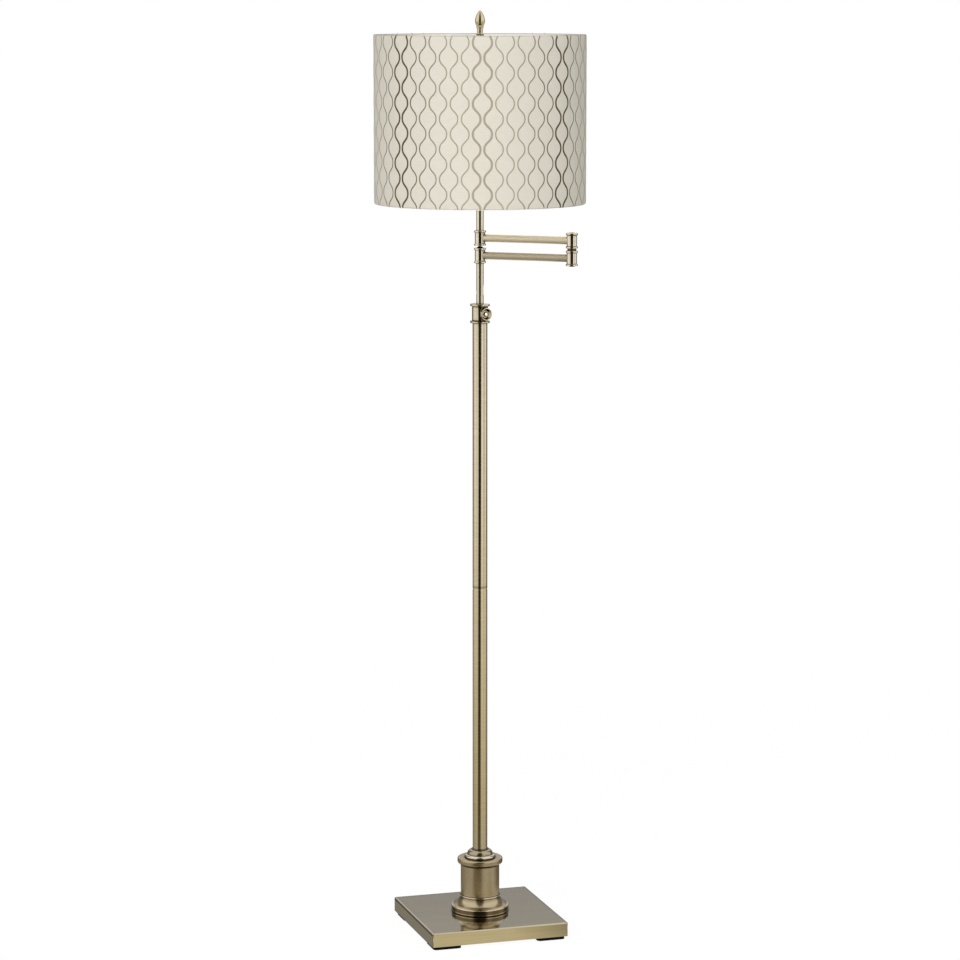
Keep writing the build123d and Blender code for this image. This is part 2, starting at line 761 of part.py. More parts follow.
with BuildPart() as socket_liner:
    revolve(ring(liner_radius, core_radius, shell_bottom, shell_top), Axis.Z)
    revolve(switch_hole(switch_radius + free_gap, switch_bottom), switch_axis, mode=Mode.SUBTRACT)

with BuildPart() as socket_core:
    revolve(ring(core_radius, 0, shell_bottom, core_top), Axis.Z)
    revolve(switch_hole(switch_radius + running_gap, switch_bottom - thrust_gap), switch_axis,
            mode=Mode.SUBTRACT)

with BuildPart() as screw_shell:
    revolve(ring(bulb_base_radius + seat_gap + screw_shell_wall, bulb_base_radius + seat_gap, core_top,
                 core_top + screw_shell_length), Axis.Z)

# Turn knob of the switch, on its shaft
switch_knob_start = cap_mouth_radius + switch_knob_gap
switch_knob_end = switch_knob_start + switch_knob_length
switch_knob_radius = switch_knob_diameter / 2

with BuildPart() as switch_knob:
    revolve(turned((0, switch_bottom), (switch_radius, switch_bottom), (switch_radius, switch_knob_start),
                   (switch_knob_radius, switch_knob_start), (switch_knob_radius, switch_knob_end),
                   (0, switch_knob_end), plane=lying(switch_axis)), switch_axis)
    fillet(switch_knob.edges().filter_by(GeomType.CIRCLE).group_by(Axis.Y)[-1], switch_knob_round)
    with BuildSketch(across((0, switch_knob_start, switch_level), Vector(0, 1, 0))):
        with PolarLocations(switch_knob_radius, switch_flute_count):
            Circle(switch_flute_radius)
    extrude(amount=switch_knob_length, mode=Mode.SUBTRACT)

# Bulb: screw base and frosted glass
bulb_radius = bulb_diameter / 2
cone_turn = math.radians(bulb_cone_angle)


def bulb_outline(skin):
    # Glass outline at a depth below its surface: neck, cone and globe up to the top.
    globe = bulb_radius - skin
    neck = bulb_base_radius - bulb_base_wall - skin
    globe_side = globe * math.cos(cone_turn)
    cone_height = (globe_side - neck) / math.tan(cone_turn)
    globe_level = bulb_neck_length + cone_height + globe * math.sin(cone_turn)
    return (neck, 0), (neck, bulb_neck_length), (globe_side, bulb_neck_length + cone_height), (
        globe, globe_level), (0, globe_level + globe)


with BuildPart() as bulb_glass:
    with BuildSketch(upright(z=bulb_base_top)):
        with BuildLine():
            outside = bulb_outline(0)
            inside = bulb_outline(bulb_glass_wall)
            for neck, throat, cone, side, top in (outside, inside):
                Polyline(neck, throat, cone)
                ThreePointArc(cone, side, top)
            Line(outside[0], inside[0])
            Line(outside[-1], inside[-1])
        make_face()
    revolve(axis=Axis.Z)

with BuildPart() as bulb_base:
    neck_radius = bulb_base_radius - bulb_base_wall
    revolve(turned((0, core_top), (bulb_contact_diameter / 2, core_top),
                   (bulb_base_radius, core_top + bulb_base_cone),
                   (bulb_base_radius, bulb_base_top + bulb_base_wall),
                   (neck_radius, bulb_base_top + bulb_base_wall), (neck_radius, bulb_base_top),
                   (0, bulb_base_top)), Axis.Z)

# Shade: top and bottom wires, spider, liner and cloth
wire_half = shade_wire / 2


def hoop(level):
    # Section of a round wire hoop inside the shade.
    with BuildSketch(upright(z=level)) as section:
        with Locations((shade_wire_track, 0)):
            Circle(wire_half)
    return section.sketch.face()


with BuildPart() as shade_top_wire:
    revolve(hoop(shade_wire_top_level), Axis.Z)

with BuildPart() as shade_bottom_wire:
    revolve(hoop(shade_wire_bottom_level), Axis.Z)

with BuildPart() as shade_spider:
    with BuildSketch(Plane.XY.offset(harp_top)):
        Circle(spider_hub_diameter / 2)
        Circle(harp_stud_diameter / 2 + free_gap, mode=Mode.SUBTRACT)
    extrude(amount=spider_hub_thickness)
    for turn in range(spider_arm_count):
        bearing = math.radians(spider_first_arm + 360 * turn / spider_arm_count)
        way = Vector(math.cos(bearing), math.sin(bearing), 0)
        with BuildSketch(across(way * spider_arm_start + Vector(0, 0, shade_wire_top_level), way)):
            Circle(spider_arm_diameter / 2)
        extrude(amount=shade_wire_track - spider_arm_start)
    revolve(hoop(shade_wire_top_level), Axis.Z, mode=Mode.SUBTRACT)

with BuildPart() as shade_liner:
    revolve(ring(shade_liner_radius, shade_liner_radius - shade_liner_thickness, shade_bottom + shade_cloth,
                 shade_top - shade_cloth), Axis.Z)

with BuildPart() as shade_cover:
    hem_radius = shade_radius - shade_hem_width
    revolve(turned((hem_radius, shade_bottom), (shade_radius, shade_bottom), (shade_radius, shade_top),
                   (hem_radius, shade_top), (hem_radius, shade_top - shade_cloth),
                   (shade_liner_radius, shade_top - shade_cloth),
                   (shade_liner_radius, shade_bottom + shade_cloth),
                   (hem_radius, shade_bottom + shade_cloth)), Axis.Z)

# Finial, screwed on the harp's stud
finial_base_radius = finial_base_diameter / 2
finial_neck_radius = finial_neck_diameter / 2
finial_ring_radius = finial_ring_diameter / 2
finial_waist_radius = finial_waist_diameter / 2
finial_radius = finial_diameter / 2
finial_tip_radius = finial_tip_diameter / 2
cove_top = finial_base_height + finial_cove_height
ring_low = cove_top + finial_neck_height
ring_high = ring_low + finial_ring_height
belly_level = ring_high + finial_belly_height
tip_level = finial_height - finial_tip_rise
finial_hole_radius = harp_stud_diameter / 2 + finial_hole_gap
finial_hole_depth = harp_top + harp_stud_length - hub_top + free_gap

with BuildPart() as finial:
    with BuildSketch(upright(z=hub_top)):
        with BuildLine():
            Polyline((0, finial_hole_depth), (finial_hole_radius, finial_hole_depth), (finial_hole_radius, 0),
                     (finial_base_radius, 0), (finial_base_radius, finial_base_height))
            TangentArc((finial_neck_radius, cove_top), (finial_base_radius, finial_base_height),
                       tangent=(0, -1))
            Line((finial_neck_radius, cove_top), (finial_neck_radius, ring_low))
            ThreePointArc((finial_neck_radius, ring_low),
                          (finial_ring_radius, (ring_low + ring_high) / 2),
                          (finial_waist_radius, ring_high))
            TangentArc((finial_radius, belly_level), (finial_waist_radius, ring_high), tangent=(0, -1))
            TangentArc((finial_radius, belly_level), (finial_tip_radius, tip_level), tangent=(0, 1))
            TangentArc((0, finial_height), (finial_tip_radius, tip_level), tangent=(1, 0))
            Line((0, finial_height), (0, finial_hole_depth))
        make_face()
    revolve(axis=Axis.Z)

# One file for each piece
pieces = {
    "rubber_pads": rubber_pads.part,
    "base_cover": base_cover.part,
    "base_weight": base_weight.part,
    "bottom_plate": bottom_plate.part,
    "base_screws": base_screws.part,
    "cord_bushing": cord_bushing.part,
    "tie_pipe": tie_pipe.part,
    "tie_washer": tie_washer.part,
    "tie_nut": tie_nut.part,
    "pedestal_foot": pedestal_foot.part,
    "pedestal_sleeve": pedestal_sleeve.part,
    "pedestal_cap": pedestal_cap.part,
    "pole_dome": pole_dome.part,
    "pole_plug": pole_plug.part,
    "pole_lower": pole_lower.part,
    "pole_coupling": pole_coupling.part,
    "pole_upper": pole_upper.part,
    "clamp_collar": clamp_collar.part,
    "guide_bush": guide_bush.part,
    "screw_tip": screw_tip.part,
    "thumb_stud": thumb_stud.part,
    "thumb_knob": thumb_knob.part,
    "inner_pole": inner_pole.part,
    "mast_guide": mast_guide.part,
    "pivot_nipple": pivot_nipple.part,
    "pivot_washer": pivot_washer.part,
    "pivot_cap": pivot_cap.part,
    "lower_knuckle": lower_knuckle,
    "lower_arm_tube": lower_arm_tube,
    "elbow_lower_knuckle": elbow_lower_knuckle,
    "elbow_nipple": elbow_nipple.part,
    "elbow_washer": elbow_washer.part,
    "elbow_top_cap": elbow_top_cap.part,
    "elbow_bottom_cap": elbow_bottom_cap.part,
    "elbow_upper_knuckle": elbow_upper_knuckle,
    "upper_arm_tube": upper_arm_tube,
    "upper_knuckle": upper_knuckle,
    "stem_tube": stem_tube.part,
    "stem_nipple": stem_nipple.part,
    "socket_nipple": socket_nipple.part,
    "harp_saddle": harp_saddle.part,
    "harp_ferrules": harp_ferrules.part,
    "harp": harp.part,
    "socket_cap": socket_cap.part,
    "socket_shell": socket_shell.part,
    "socket_liner": socket_liner.part,
    "socket_core": socket_core.part,
    "screw_shell": screw_shell.part,
    "switch_knob": switch_knob.part,
    "bulb_glass": bulb_glass.part,
    "bulb_base": bulb_base.part,
    "shade_spider": shade_spider.part,
    "shade_top_wire": shade_top_wire.part,
    "shade_bottom_wire": shade_bottom_wire.part,
    "shade_liner": shade_liner.part,
    "shade_cover": shade_cover.part,
    "finial": finial.part,
}

os.makedirs("parts", exist_ok=True)
for name, piece in pieces.items():
    piece.label = name
    export_step(piece, f"parts/{name}.step")
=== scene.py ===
import math

import bpy
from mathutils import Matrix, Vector


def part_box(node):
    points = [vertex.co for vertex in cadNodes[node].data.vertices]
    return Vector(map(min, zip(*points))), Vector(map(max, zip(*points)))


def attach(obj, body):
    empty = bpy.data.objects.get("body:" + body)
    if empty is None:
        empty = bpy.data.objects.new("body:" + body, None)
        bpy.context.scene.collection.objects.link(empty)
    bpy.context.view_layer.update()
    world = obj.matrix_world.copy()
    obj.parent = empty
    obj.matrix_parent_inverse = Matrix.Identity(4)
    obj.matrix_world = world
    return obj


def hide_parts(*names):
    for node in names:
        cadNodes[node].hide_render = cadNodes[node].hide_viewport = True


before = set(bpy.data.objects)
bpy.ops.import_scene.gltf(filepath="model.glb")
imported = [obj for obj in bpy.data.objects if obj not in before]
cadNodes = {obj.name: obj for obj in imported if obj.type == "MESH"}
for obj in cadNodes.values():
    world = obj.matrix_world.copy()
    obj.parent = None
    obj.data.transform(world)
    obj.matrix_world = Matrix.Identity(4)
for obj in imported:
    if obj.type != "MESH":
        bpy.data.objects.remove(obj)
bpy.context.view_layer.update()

scene = bpy.context.scene
scene.view_settings.view_transform = "Standard"
mm = 0.001

# camera, standing where the photograph was taken from
cameraPlace = {
    "bearing": -107.0,  # degrees from +X, seen from above
    "distance": 5.505,  # level distance from the pole
    "height": 1.604,
    "pitch": 8.47,  # degrees below level
    "focalPixels": 3268.0,
    "imagePixels": 960.0,
    "sensor": 36.0,
    "farthest": 500.0,
}


def makeCamera(place):
    data = bpy.data.cameras.new("photoCamera")
    data.sensor_width = place["sensor"]
    data.lens = place["focalPixels"] * place["sensor"] / place["imagePixels"]
    data.clip_end = place["farthest"]
    camera = bpy.data.objects.new("photoCamera", data)
    bearing = math.radians(place["bearing"])
    camera.location = (place["distance"] * math.cos(bearing), place["distance"] * math.sin(bearing), place["height"])
    camera.rotation_euler = (math.radians(90 - place["pitch"]), 0, bearing + math.pi / 2)
    scene.collection.objects.link(camera)
    scene.camera = camera


makeCamera(cameraPlace)
print("camera placed")


# node helpers
def newMaterial(name):
    material = bpy.data.materials.new(name)
    material.use_nodes = True
    return material, material.node_tree, material.node_tree.nodes["Principled BSDF"]


def addNode(tree, kind, settings=None, inputs=None):
    node = tree.nodes.new(kind)
    for key, value in (settings or {}).items():
        setattr(node, key, value)
    for key, value in (inputs or {}).items():
        if isinstance(value, bpy.types.NodeSocket):
            tree.links.new(value, node.inputs[key])
        else:
            node.inputs[key].default_value = value
    return node


def calc(tree, operation, first, second=None):
    values = {0: first} if second is None else {0: first, 1: second}
    return addNode(tree, "ShaderNodeMath", {"operation": operation}, values).outputs["Value"]


def mixColours(tree, amount, first, second):
    node = addNode(tree, "ShaderNodeMix", {"data_type": "RGBA"})  # its colour sockets are 6, 7 and 2
    for socket, value in ((node.inputs[0], amount), (node.inputs[6], first), (node.inputs[7], second)):
        if isinstance(value, bpy.types.NodeSocket):
            tree.links.new(value, socket)
        else:
            socket.default_value = value
    return node.outputs[2]


def mapRange(tree, value, fromLow, fromHigh, toLow, toHigh):
    node = addNode(tree, "ShaderNodeMapRange", None, {
        "Value": value, "From Min": fromLow, "From Max": fromHigh, "To Min": toLow, "To Max": toHigh})
    return node.outputs["Result"]


def opaque(colour):
    return (*colour, 1.0)


def objectPlace(tree):
    return addNode(tree, "ShaderNodeTexCoord").outputs["Object"]


def placeAlong(tree, axis):
    return addNode(tree, "ShaderNodeSeparateXYZ", None, {"Vector": objectPlace(tree)}).outputs[axis]


def turnPlace(tree, place, angle):
    return addNode(tree, "ShaderNodeVectorRotate", {"rotation_type": "Z_AXIS"}, {
        "Vector": place, "Angle": angle}).outputs["Vector"]


def bearingOf(tree, place):
    # angle round the vertical axis
    parts = addNode(tree, "ShaderNodeSeparateXYZ", None, {"Vector": place})
    return calc(tree, "ARCTAN2", parts.outputs["Y"], parts.outputs["X"])


def lengthOf(tree, place, axes):
    # distance from the origin along the axes that have a 1
    flat = addNode(tree, "ShaderNodeVectorMath", {"operation": "MULTIPLY"}, {0: place, 1: axes}).outputs["Vector"]
    return addNode(tree, "ShaderNodeVectorMath", {"operation": "LENGTH"}, {0: flat}).outputs["Value"]


def stretchedNoise(tree, stretch, turn=0.0, detail=3.0):
    # noise drawn out along the brushing; stretch is waves per metre along X, Y and Z
    place = objectPlace(tree)
    if turn:
        place = turnPlace(tree, place, math.radians(turn))
    spread = addNode(tree, "ShaderNodeMapping", None, {"Vector": place, "Scale": stretch})
    noise = addNode(tree, "ShaderNodeTexNoise", None, {
        "Vector": spread.outputs["Vector"], "Scale": 1.0, "Detail": detail, "Roughness": 0.6})
    return noise.outputs["Fac"]


grainSpan = (0.3, 0.7)  # part of the noise that a grain's two tones are spread over


def grainTone(tree, grain, look):
    share = mapRange(tree, grain, *grainSpan, 0.0, 1.0)
    return mixColours(tree, share, opaque(look["low"]), opaque(look["high"]))


def addBump(tree, shader, height, strength, depth):
    bump = addNode(tree, "ShaderNodeBump", None, {"Height": height, "Strength": strength, "Distance": depth})
    tree.links.new(bump.outputs["Normal"], shader.inputs["Normal"])


# metals
waxAndShadeDark = (0.045, 0.03, 0.014)  # dark colour for the wax patina in the hollows and for painted shade
paintedHighlightBrass = (0.86, 0.76, 0.56)  # pale brass for painted highlights
brassCloud = {"stretch": 3 * (24.0,), "detail": 2.0, "span": (0.35, 0.75)}  # slow staining of the metal
cornerRays = 16  # rays that feel how open a corner is
brassDepth, plainDepth = 0.3 * mm, 0.4 * mm  # of the grain's bump


def reachOf(tree, middle):
    # distance from the level line that runs from the lamp's axis through this point
    place = addNode(tree, "ShaderNodeVectorMath", {"operation": "SUBTRACT"}, {
        0: objectPlace(tree), 1: middle}).outputs["Vector"]
    return lengthOf(tree, turnPlace(tree, place, -math.atan2(middle.y, middle.x)), (0.0, 1.0, 1.0))


def bandMask(tree, measure, middle, half, fade, amount):
    # a soft band, for painted shade lines and painted highlights: the middle of it, half its width, its soft edge
    # and its strength
    away = calc(tree, "ABSOLUTE", calc(tree, "SUBTRACT", measure, middle))
    return mapRange(tree, away, half, half + fade, amount, 0.0)


def makeBrass(name, look):
    material, tree, shader = newMaterial(name)
    grain = stretchedNoise(tree, look["grain"], look.get("turn", 0.0))
    cloud = stretchedNoise(tree, brassCloud["stretch"], detail=brassCloud["detail"])
    stain = mapRange(tree, cloud, *brassCloud["span"], 0.0, look["stain"])
    tone = mixColours(tree, stain, grainTone(tree, grain, look), opaque(look["low"]))
    # ambient occlusion darkens the hollows: wax patina, and painted shade where parts crowd each other
    corner = addNode(tree, "ShaderNodeAmbientOcclusion", {"samples": cornerRays}, {"Distance": look["crevice"]})
    cornerWaxAndShade = mapRange(tree, corner.outputs["AO"], *look["waxAndShadeSpan"], look["waxAndShade"], 0.0)
    tone = mixColours(tree, cornerWaxAndShade, tone, opaque(waxAndShadeDark))
    # the bands, edges and rings below paint shade lines in the dark colour
    for band in look.get("bands", []):
        tone = mixColours(tree, bandMask(tree, placeAlong(tree, "Z"), *band), tone, opaque(waxAndShadeDark))
    # painted highlights: pale lines where rims catch the light
    for band in look.get("paintedHighlights", []):
        tone = mixColours(tree, bandMask(tree, placeAlong(tree, "Z"), *band), tone, opaque(paintedHighlightBrass))
    for amount, spans in look.get("edges", []):
        for axis, span in spans.items():
            amount = calc(tree, "MULTIPLY", amount, bandMask(tree, placeAlong(tree, axis), *span, 1.0))
        tone = mixColours(tree, amount, tone, opaque(waxAndShadeDark))
    for ring in look.get("rings", []):
        tone = mixColours(tree, bandMask(tree, reachOf(tree, look["middle"]), *ring), tone, opaque(waxAndShadeDark))
    tree.links.new(tone, shader.inputs["Base Color"])
    tree.links.new(mapRange(tree, grain, *grainSpan, *look["rough"]), shader.inputs["Roughness"])
    shader.inputs["Metallic"].default_value = 1.0
    addBump(tree, shader, grain, look["bump"], brassDepth)
    return material


def makePlain(name, look):
    # moulded, cast or plated stuff: a mottled colour with a fine grain
    material, tree, shader = newMaterial(name)
    speck = stretchedNoise(tree, look["grain"])
    tree.links.new(grainTone(tree, speck, look), shader.inputs["Base Color"])
    tree.links.new(mapRange(tree, speck, *grainSpan, *look["rough"]), shader.inputs["Roughness"])
    shader.inputs["Metallic"].default_value = look.get("metal", 0.0)
    shader.inputs["Specular IOR Level"].default_value = look.get("shine", 0.5)
    shader.inputs["Transmission Weight"].default_value = look.get("clear", 0.0)
    addBump(tree, shader, speck, look["bump"], plainDepth)
    return material


armBearing = -39.0  # degrees from +X that the folded arms point
coverLow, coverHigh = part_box("base_cover")
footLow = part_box("pedestal_foot")[0].z
sleeveLow, sleeveHigh = [corner.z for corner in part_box("pedestal_sleeve")]
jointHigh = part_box("pole_upper")[0].z
collarLow, collarHigh = [corner.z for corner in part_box("clamp_collar")]
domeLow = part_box("pole_dome")[0].z
elbowLow, washerLow = [corner.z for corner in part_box("elbow_lower_knuckle")]
washerHigh, elbowHigh = [corner.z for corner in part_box("elbow_upper_knuckle")]
knobMiddle = (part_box("thumb_knob")[0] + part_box("thumb_knob")[1]) / 2

# low and high: the grain's two tones; grain: its waves per metre along X, Y and Z; turn: degrees it is turned
# stain: strength of the slow staining; crevice: reach of a corner
# the next two set the darkening in corners by ambient occlusion, wax patina together with painted shade:
# its strength, then the openness of a corner where it is full and where it ends
# bands and rings paint shade lines, the highlight bands paint highlights; each gives middle height or radius,
# half width, soft edge and strength. edges paint shade lines: strength, then the middle, half width and soft edge
# along each axis
poleFinish = {"low": (0.6, 0.515, 0.335), "high": (0.74, 0.645, 0.445), "stain": 0.25, "waxAndShade": 0.95,
              "crevice": 6.0 * mm, "waxAndShadeSpan": (0.3, 0.85),
              "grain": (60.0, 60.0, 900.0), "rough": (0.1, 0.15), "bump": 0.004,
              # painted shadow on the upper pole just above the coupling
              "bands": [(jointHigh + 1.2 * mm, 0.8 * mm, 3.5 * mm, 0.5)]}
stemFinish = {"low": (0.69, 0.615, 0.42), "high": (0.85, 0.77, 0.56), "stain": 0.2, "waxAndShade": 0.95,
              "crevice": 6.0 * mm, "waxAndShadeSpan": (0.3, 0.85),
              "grain": (60.0, 60.0, 900.0), "rough": (0.05, 0.08), "bump": 0.005}
innerFinish = {**stemFinish, "low": (0.61, 0.54, 0.37), "high": (0.75, 0.675, 0.49)}
jointFinish = {"low": (0.62, 0.54, 0.36), "high": (0.78, 0.69, 0.49), "stain": 0.3, "waxAndShade": 0.5,
               "crevice": 1.0 * mm, "waxAndShadeSpan": (0.3, 0.95),
               "grain": (60.0, 60.0, 900.0), "rough": (0.14, 0.2), "bump": 0.01}
turnedFinish = {"low": (0.6, 0.51, 0.32), "high": (0.75, 0.655, 0.44), "stain": 0.25, "waxAndShade": 1.0,
                "crevice": 6.0 * mm, "waxAndShadeSpan": (0.45, 0.95),
                "grain": (60.0, 60.0, 900.0), "rough": (0.06, 0.1), "bump": 0.006}
pivotFinish = {**turnedFinish, "waxAndShade": 0.25}
# the wider corner reach paints the shade where each arm meets its knuckle
knuckleFinish = {**turnedFinish, "low": (0.68, 0.6, 0.43), "high": (0.84, 0.76, 0.58), "crevice": 12.0 * mm,
                 "waxAndShadeSpan": (0.5, 0.95)}
# elbow bands paint dark shade lines beside its flanges and the washer
elbowFinish = {**turnedFinish, "low": (0.7, 0.615, 0.45), "high": (0.86, 0.775, 0.6), "bands": [
    (elbowLow + 3.3 * mm, 0.3 * mm, 0.5 * mm, 0.5), (washerLow - 3.3 * mm, 0.3 * mm, 0.5 * mm, 0.75),
    (washerHigh + 3.3 * mm, 0.3 * mm, 0.5 * mm, 0.75), (elbowHigh - 3.2 * mm, 0.7 * mm, 0.7 * mm, 0.75)]}
# collar bands paint dark shade lines at the rims of its flanges
collarFinish = {**turnedFinish, "bands": [
    (collarLow + 0.3 * mm, 0.5 * mm, 0.5 * mm, 0.8), (collarLow + 4.0 * mm, 0.9 * mm, 0.6 * mm, 0.85),
    (collarHigh - 3.9 * mm, 0.7 * mm, 0.6 * mm, 0.8), (collarHigh - 0.2 * mm, 0.3 * mm, 0.5 * mm, 0.5)]}
# dome bands paint a dark shade line round its foot and darken its upper part
domeFinish = {**turnedFinish, "low": (0.7, 0.61, 0.43), "high": (0.82, 0.73, 0.54), "rough": (0.2, 0.24),
              "crevice": 8.0 * mm, "waxAndShadeSpan": (0.5, 0.97), "bands": [
                  (domeLow + 0.8 * mm, 0.8 * mm, 1.0 * mm, 0.9), (domeLow + 11.0 * mm, 4.2 * mm, 1.2 * mm, 0.47)]}
# rings paint the dark reflection round the button and a faint shade ring on the dish
knobFinish = {"low": (0.6, 0.51, 0.32), "high": (0.75, 0.655, 0.44), "stain": 0.2, "waxAndShade": 1.0,
              "crevice": 4.0 * mm, "waxAndShadeSpan": (0.4, 0.9), "middle": knobMiddle,
              "rings": [(3.7 * mm, 1.1 * mm, 0.4 * mm, 0.97), (7.3 * mm, 1.6 * mm, 0.5 * mm, 0.3)],
              "grain": (300.0, 300.0, 300.0), "rough": (0.06, 0.1), "bump": 0.01}
grooveFinish = {"low": (0.16, 0.12, 0.065), "high": (0.26, 0.2, 0.115), "stain": 0.4, "waxAndShade": 1.0,
                "crevice": 6.0 * mm, "waxAndShadeSpan": (0.3, 0.9),
                "grain": (60.0, 60.0, 900.0), "rough": (0.25, 0.35), "bump": 0.03}
armFinish = {"low": (0.74, 0.66, 0.49), "high": (0.82, 0.74, 0.57), "stain": 0.25, "waxAndShade": 0.95,
             "crevice": 6.0 * mm, "waxAndShadeSpan": (0.3, 0.85),
             "grain": (700.0, 70.0, 70.0), "turn": -armBearing, "rough": (0.4, 0.45), "bump": 0.006}
# the lower arm's brass is darkened to paint the shade that the upper arm and the shade cast on it
shadedLowArmFinish = {**armFinish, "low": (0.52, 0.455, 0.34), "high": (0.59, 0.52, 0.4)}
sleeveFinish = {"low": (0.51, 0.42, 0.265), "high": (0.56, 0.465, 0.3), "stain": 0.25, "waxAndShade": 1.0,
                "crevice": 5.0 * mm, "waxAndShadeSpan": (0.45, 0.95),
                "grain": (35.0, 35.0, 500.0), "rough": (0.25, 0.27), "bump": 0.003}
# foot bands paint the contact shadow, dark reflection lines and a darker top to the flare
footFinish = {**sleeveFinish, "crevice": 3.0 * mm, "rough": (0.2, 0.23), "bands": [
    (footLow + 0.4 * mm, 1.0 * mm, 0.5 * mm, 0.97), (footLow + 6.4 * mm, 2.9 * mm, 1.0 * mm, 0.72),
    (footLow + 13.4 * mm, 0.9 * mm, 1.5 * mm, 0.45), (sleeveLow - 5.4 * mm, 1.2 * mm, 3.0 * mm, 0.3),
    (sleeveLow - 3.9 * mm, 0.4 * mm, 0.6 * mm, 0.6), (sleeveLow - 0.2 * mm, 0.3 * mm, 0.5 * mm, 0.8)],
    "paintedHighlights": [(footLow + 2.4 * mm, 0.3 * mm, 0.6 * mm, 0.2), (footLow + 11.2 * mm, 0.7 * mm, 0.6 * mm, 0.7),
             (sleeveLow - 2.0 * mm, 0.7 * mm, 0.6 * mm, 0.8)]}
# the cap band paints the shadow under its rim
capFinish = {**sleeveFinish, "low": (0.46, 0.38, 0.24), "high": (0.5, 0.415, 0.27), "rough": (0.24, 0.28),
             "bands": [(sleeveHigh + 1.2 * mm, 2.5 * mm, 0.8 * mm, 0.97)]}
offFrontAndBack = (0.0, coverHigh.y - 1.0 * mm, 0.5 * mm)  # keeps the painted shade lines off the front and back faces
baseFinish = {"low": (0.52, 0.455, 0.315), "high": (0.58, 0.515, 0.365), "stain": 0.3, "waxAndShade": 0.9,
              "crevice": 6.0 * mm, "waxAndShadeSpan": (0.25, 0.85),
              "grain": (14.0, 420.0, 420.0), "rough": (0.09, 0.12), "bump": 0.006,
              # edges paint shade lines along the bottom edge and under the top edge of the side faces, and along the
              # top's back and right edges
              "edges": [
                  (0.7, {"Z": (coverLow.z + 0.4 * mm, 0.6 * mm, 0.9 * mm), "Y": offFrontAndBack}),
                  (0.95, {"Z": (coverHigh.z - 3.0 * mm, 1.1 * mm, 0.6 * mm), "Y": offFrontAndBack}),
                  (0.4, {"Z": (coverHigh.z, 1.0 * mm, 1.0 * mm), "Y": (coverHigh.y, 4.0 * mm, 3.0 * mm)}),
                  (0.4, {"Z": (coverHigh.z, 1.0 * mm, 1.0 * mm), "X": (coverHigh.x, 3.0 * mm, 2.0 * mm)})]}
socketFinish = {"low": (0.62, 0.47, 0.2), "high": (0.78, 0.63, 0.34), "stain": 0.2, "waxAndShade": 0.6,
                "crevice": 6.0 * mm, "waxAndShadeSpan": (0.3, 0.85),
                "grain": (60.0, 60.0, 600.0), "rough": (0.1, 0.18), "bump": 0.02}
steelFinish = {"low": (0.5, 0.5, 0.48), "high": (0.66, 0.66, 0.63), "grain": (300.0, 300.0, 900.0),
               "rough": (0.28, 0.42), "bump": 0.08, "metal": 1.0}
ironFinish = {"low": (0.02, 0.02, 0.02), "high": (0.06, 0.058, 0.055), "grain": (420.0, 420.0, 420.0),
              "rough": (0.6, 0.85), "bump": 0.5}
rubberFinish = {"low": (0.003, 0.003, 0.003), "high": (0.008, 0.008, 0.007), "grain": (900.0, 900.0, 900.0),
                "rough": (0.7, 0.85), "bump": 0.35, "shine": 0.05}
blackFinish = {"low": (0.012, 0.012, 0.012), "high": (0.026, 0.025, 0.024), "grain": (1200.0, 1200.0, 1200.0),
               "rough": (0.32, 0.45), "bump": 0.12}
nylonFinish = {"low": (0.72, 0.7, 0.64), "high": (0.82, 0.8, 0.75), "grain": (500.0, 500.0, 500.0),
               "rough": (0.38, 0.5), "bump": 0.08}
fibreFinish = {"low": (0.2, 0.14, 0.08), "high": (0.34, 0.25, 0.15), "grain": (400.0, 400.0, 1600.0),
               "rough": (0.6, 0.8), "bump": 0.3}
frostFinish = {"low": (0.86, 0.85, 0.81), "high": (0.93, 0.92, 0.89), "grain": (260.0, 260.0, 260.0),
               "rough": (0.4, 0.55), "bump": 0.04, "clear": 0.3}
aluminiumFinish = {"low": (0.62, 0.62, 0.61), "high": (0.76, 0.76, 0.75), "grain": (60.0, 60.0, 270.0),
                   "rough": (0.22, 0.34), "bump": 0.3, "metal": 1.0}
linerFinish = {"low": (0.62, 0.6, 0.55), "high": (0.7, 0.68, 0.63), "grain": (160.0, 160.0, 90.0),
               "rough": (0.42, 0.55), "bump": 0.05}
wireFinish = {"low": (0.78, 0.77, 0.73), "high": (0.87, 0.86, 0.82), "grain": (320.0, 320.0, 320.0),
              "rough": (0.3, 0.42), "bump": 0.06}

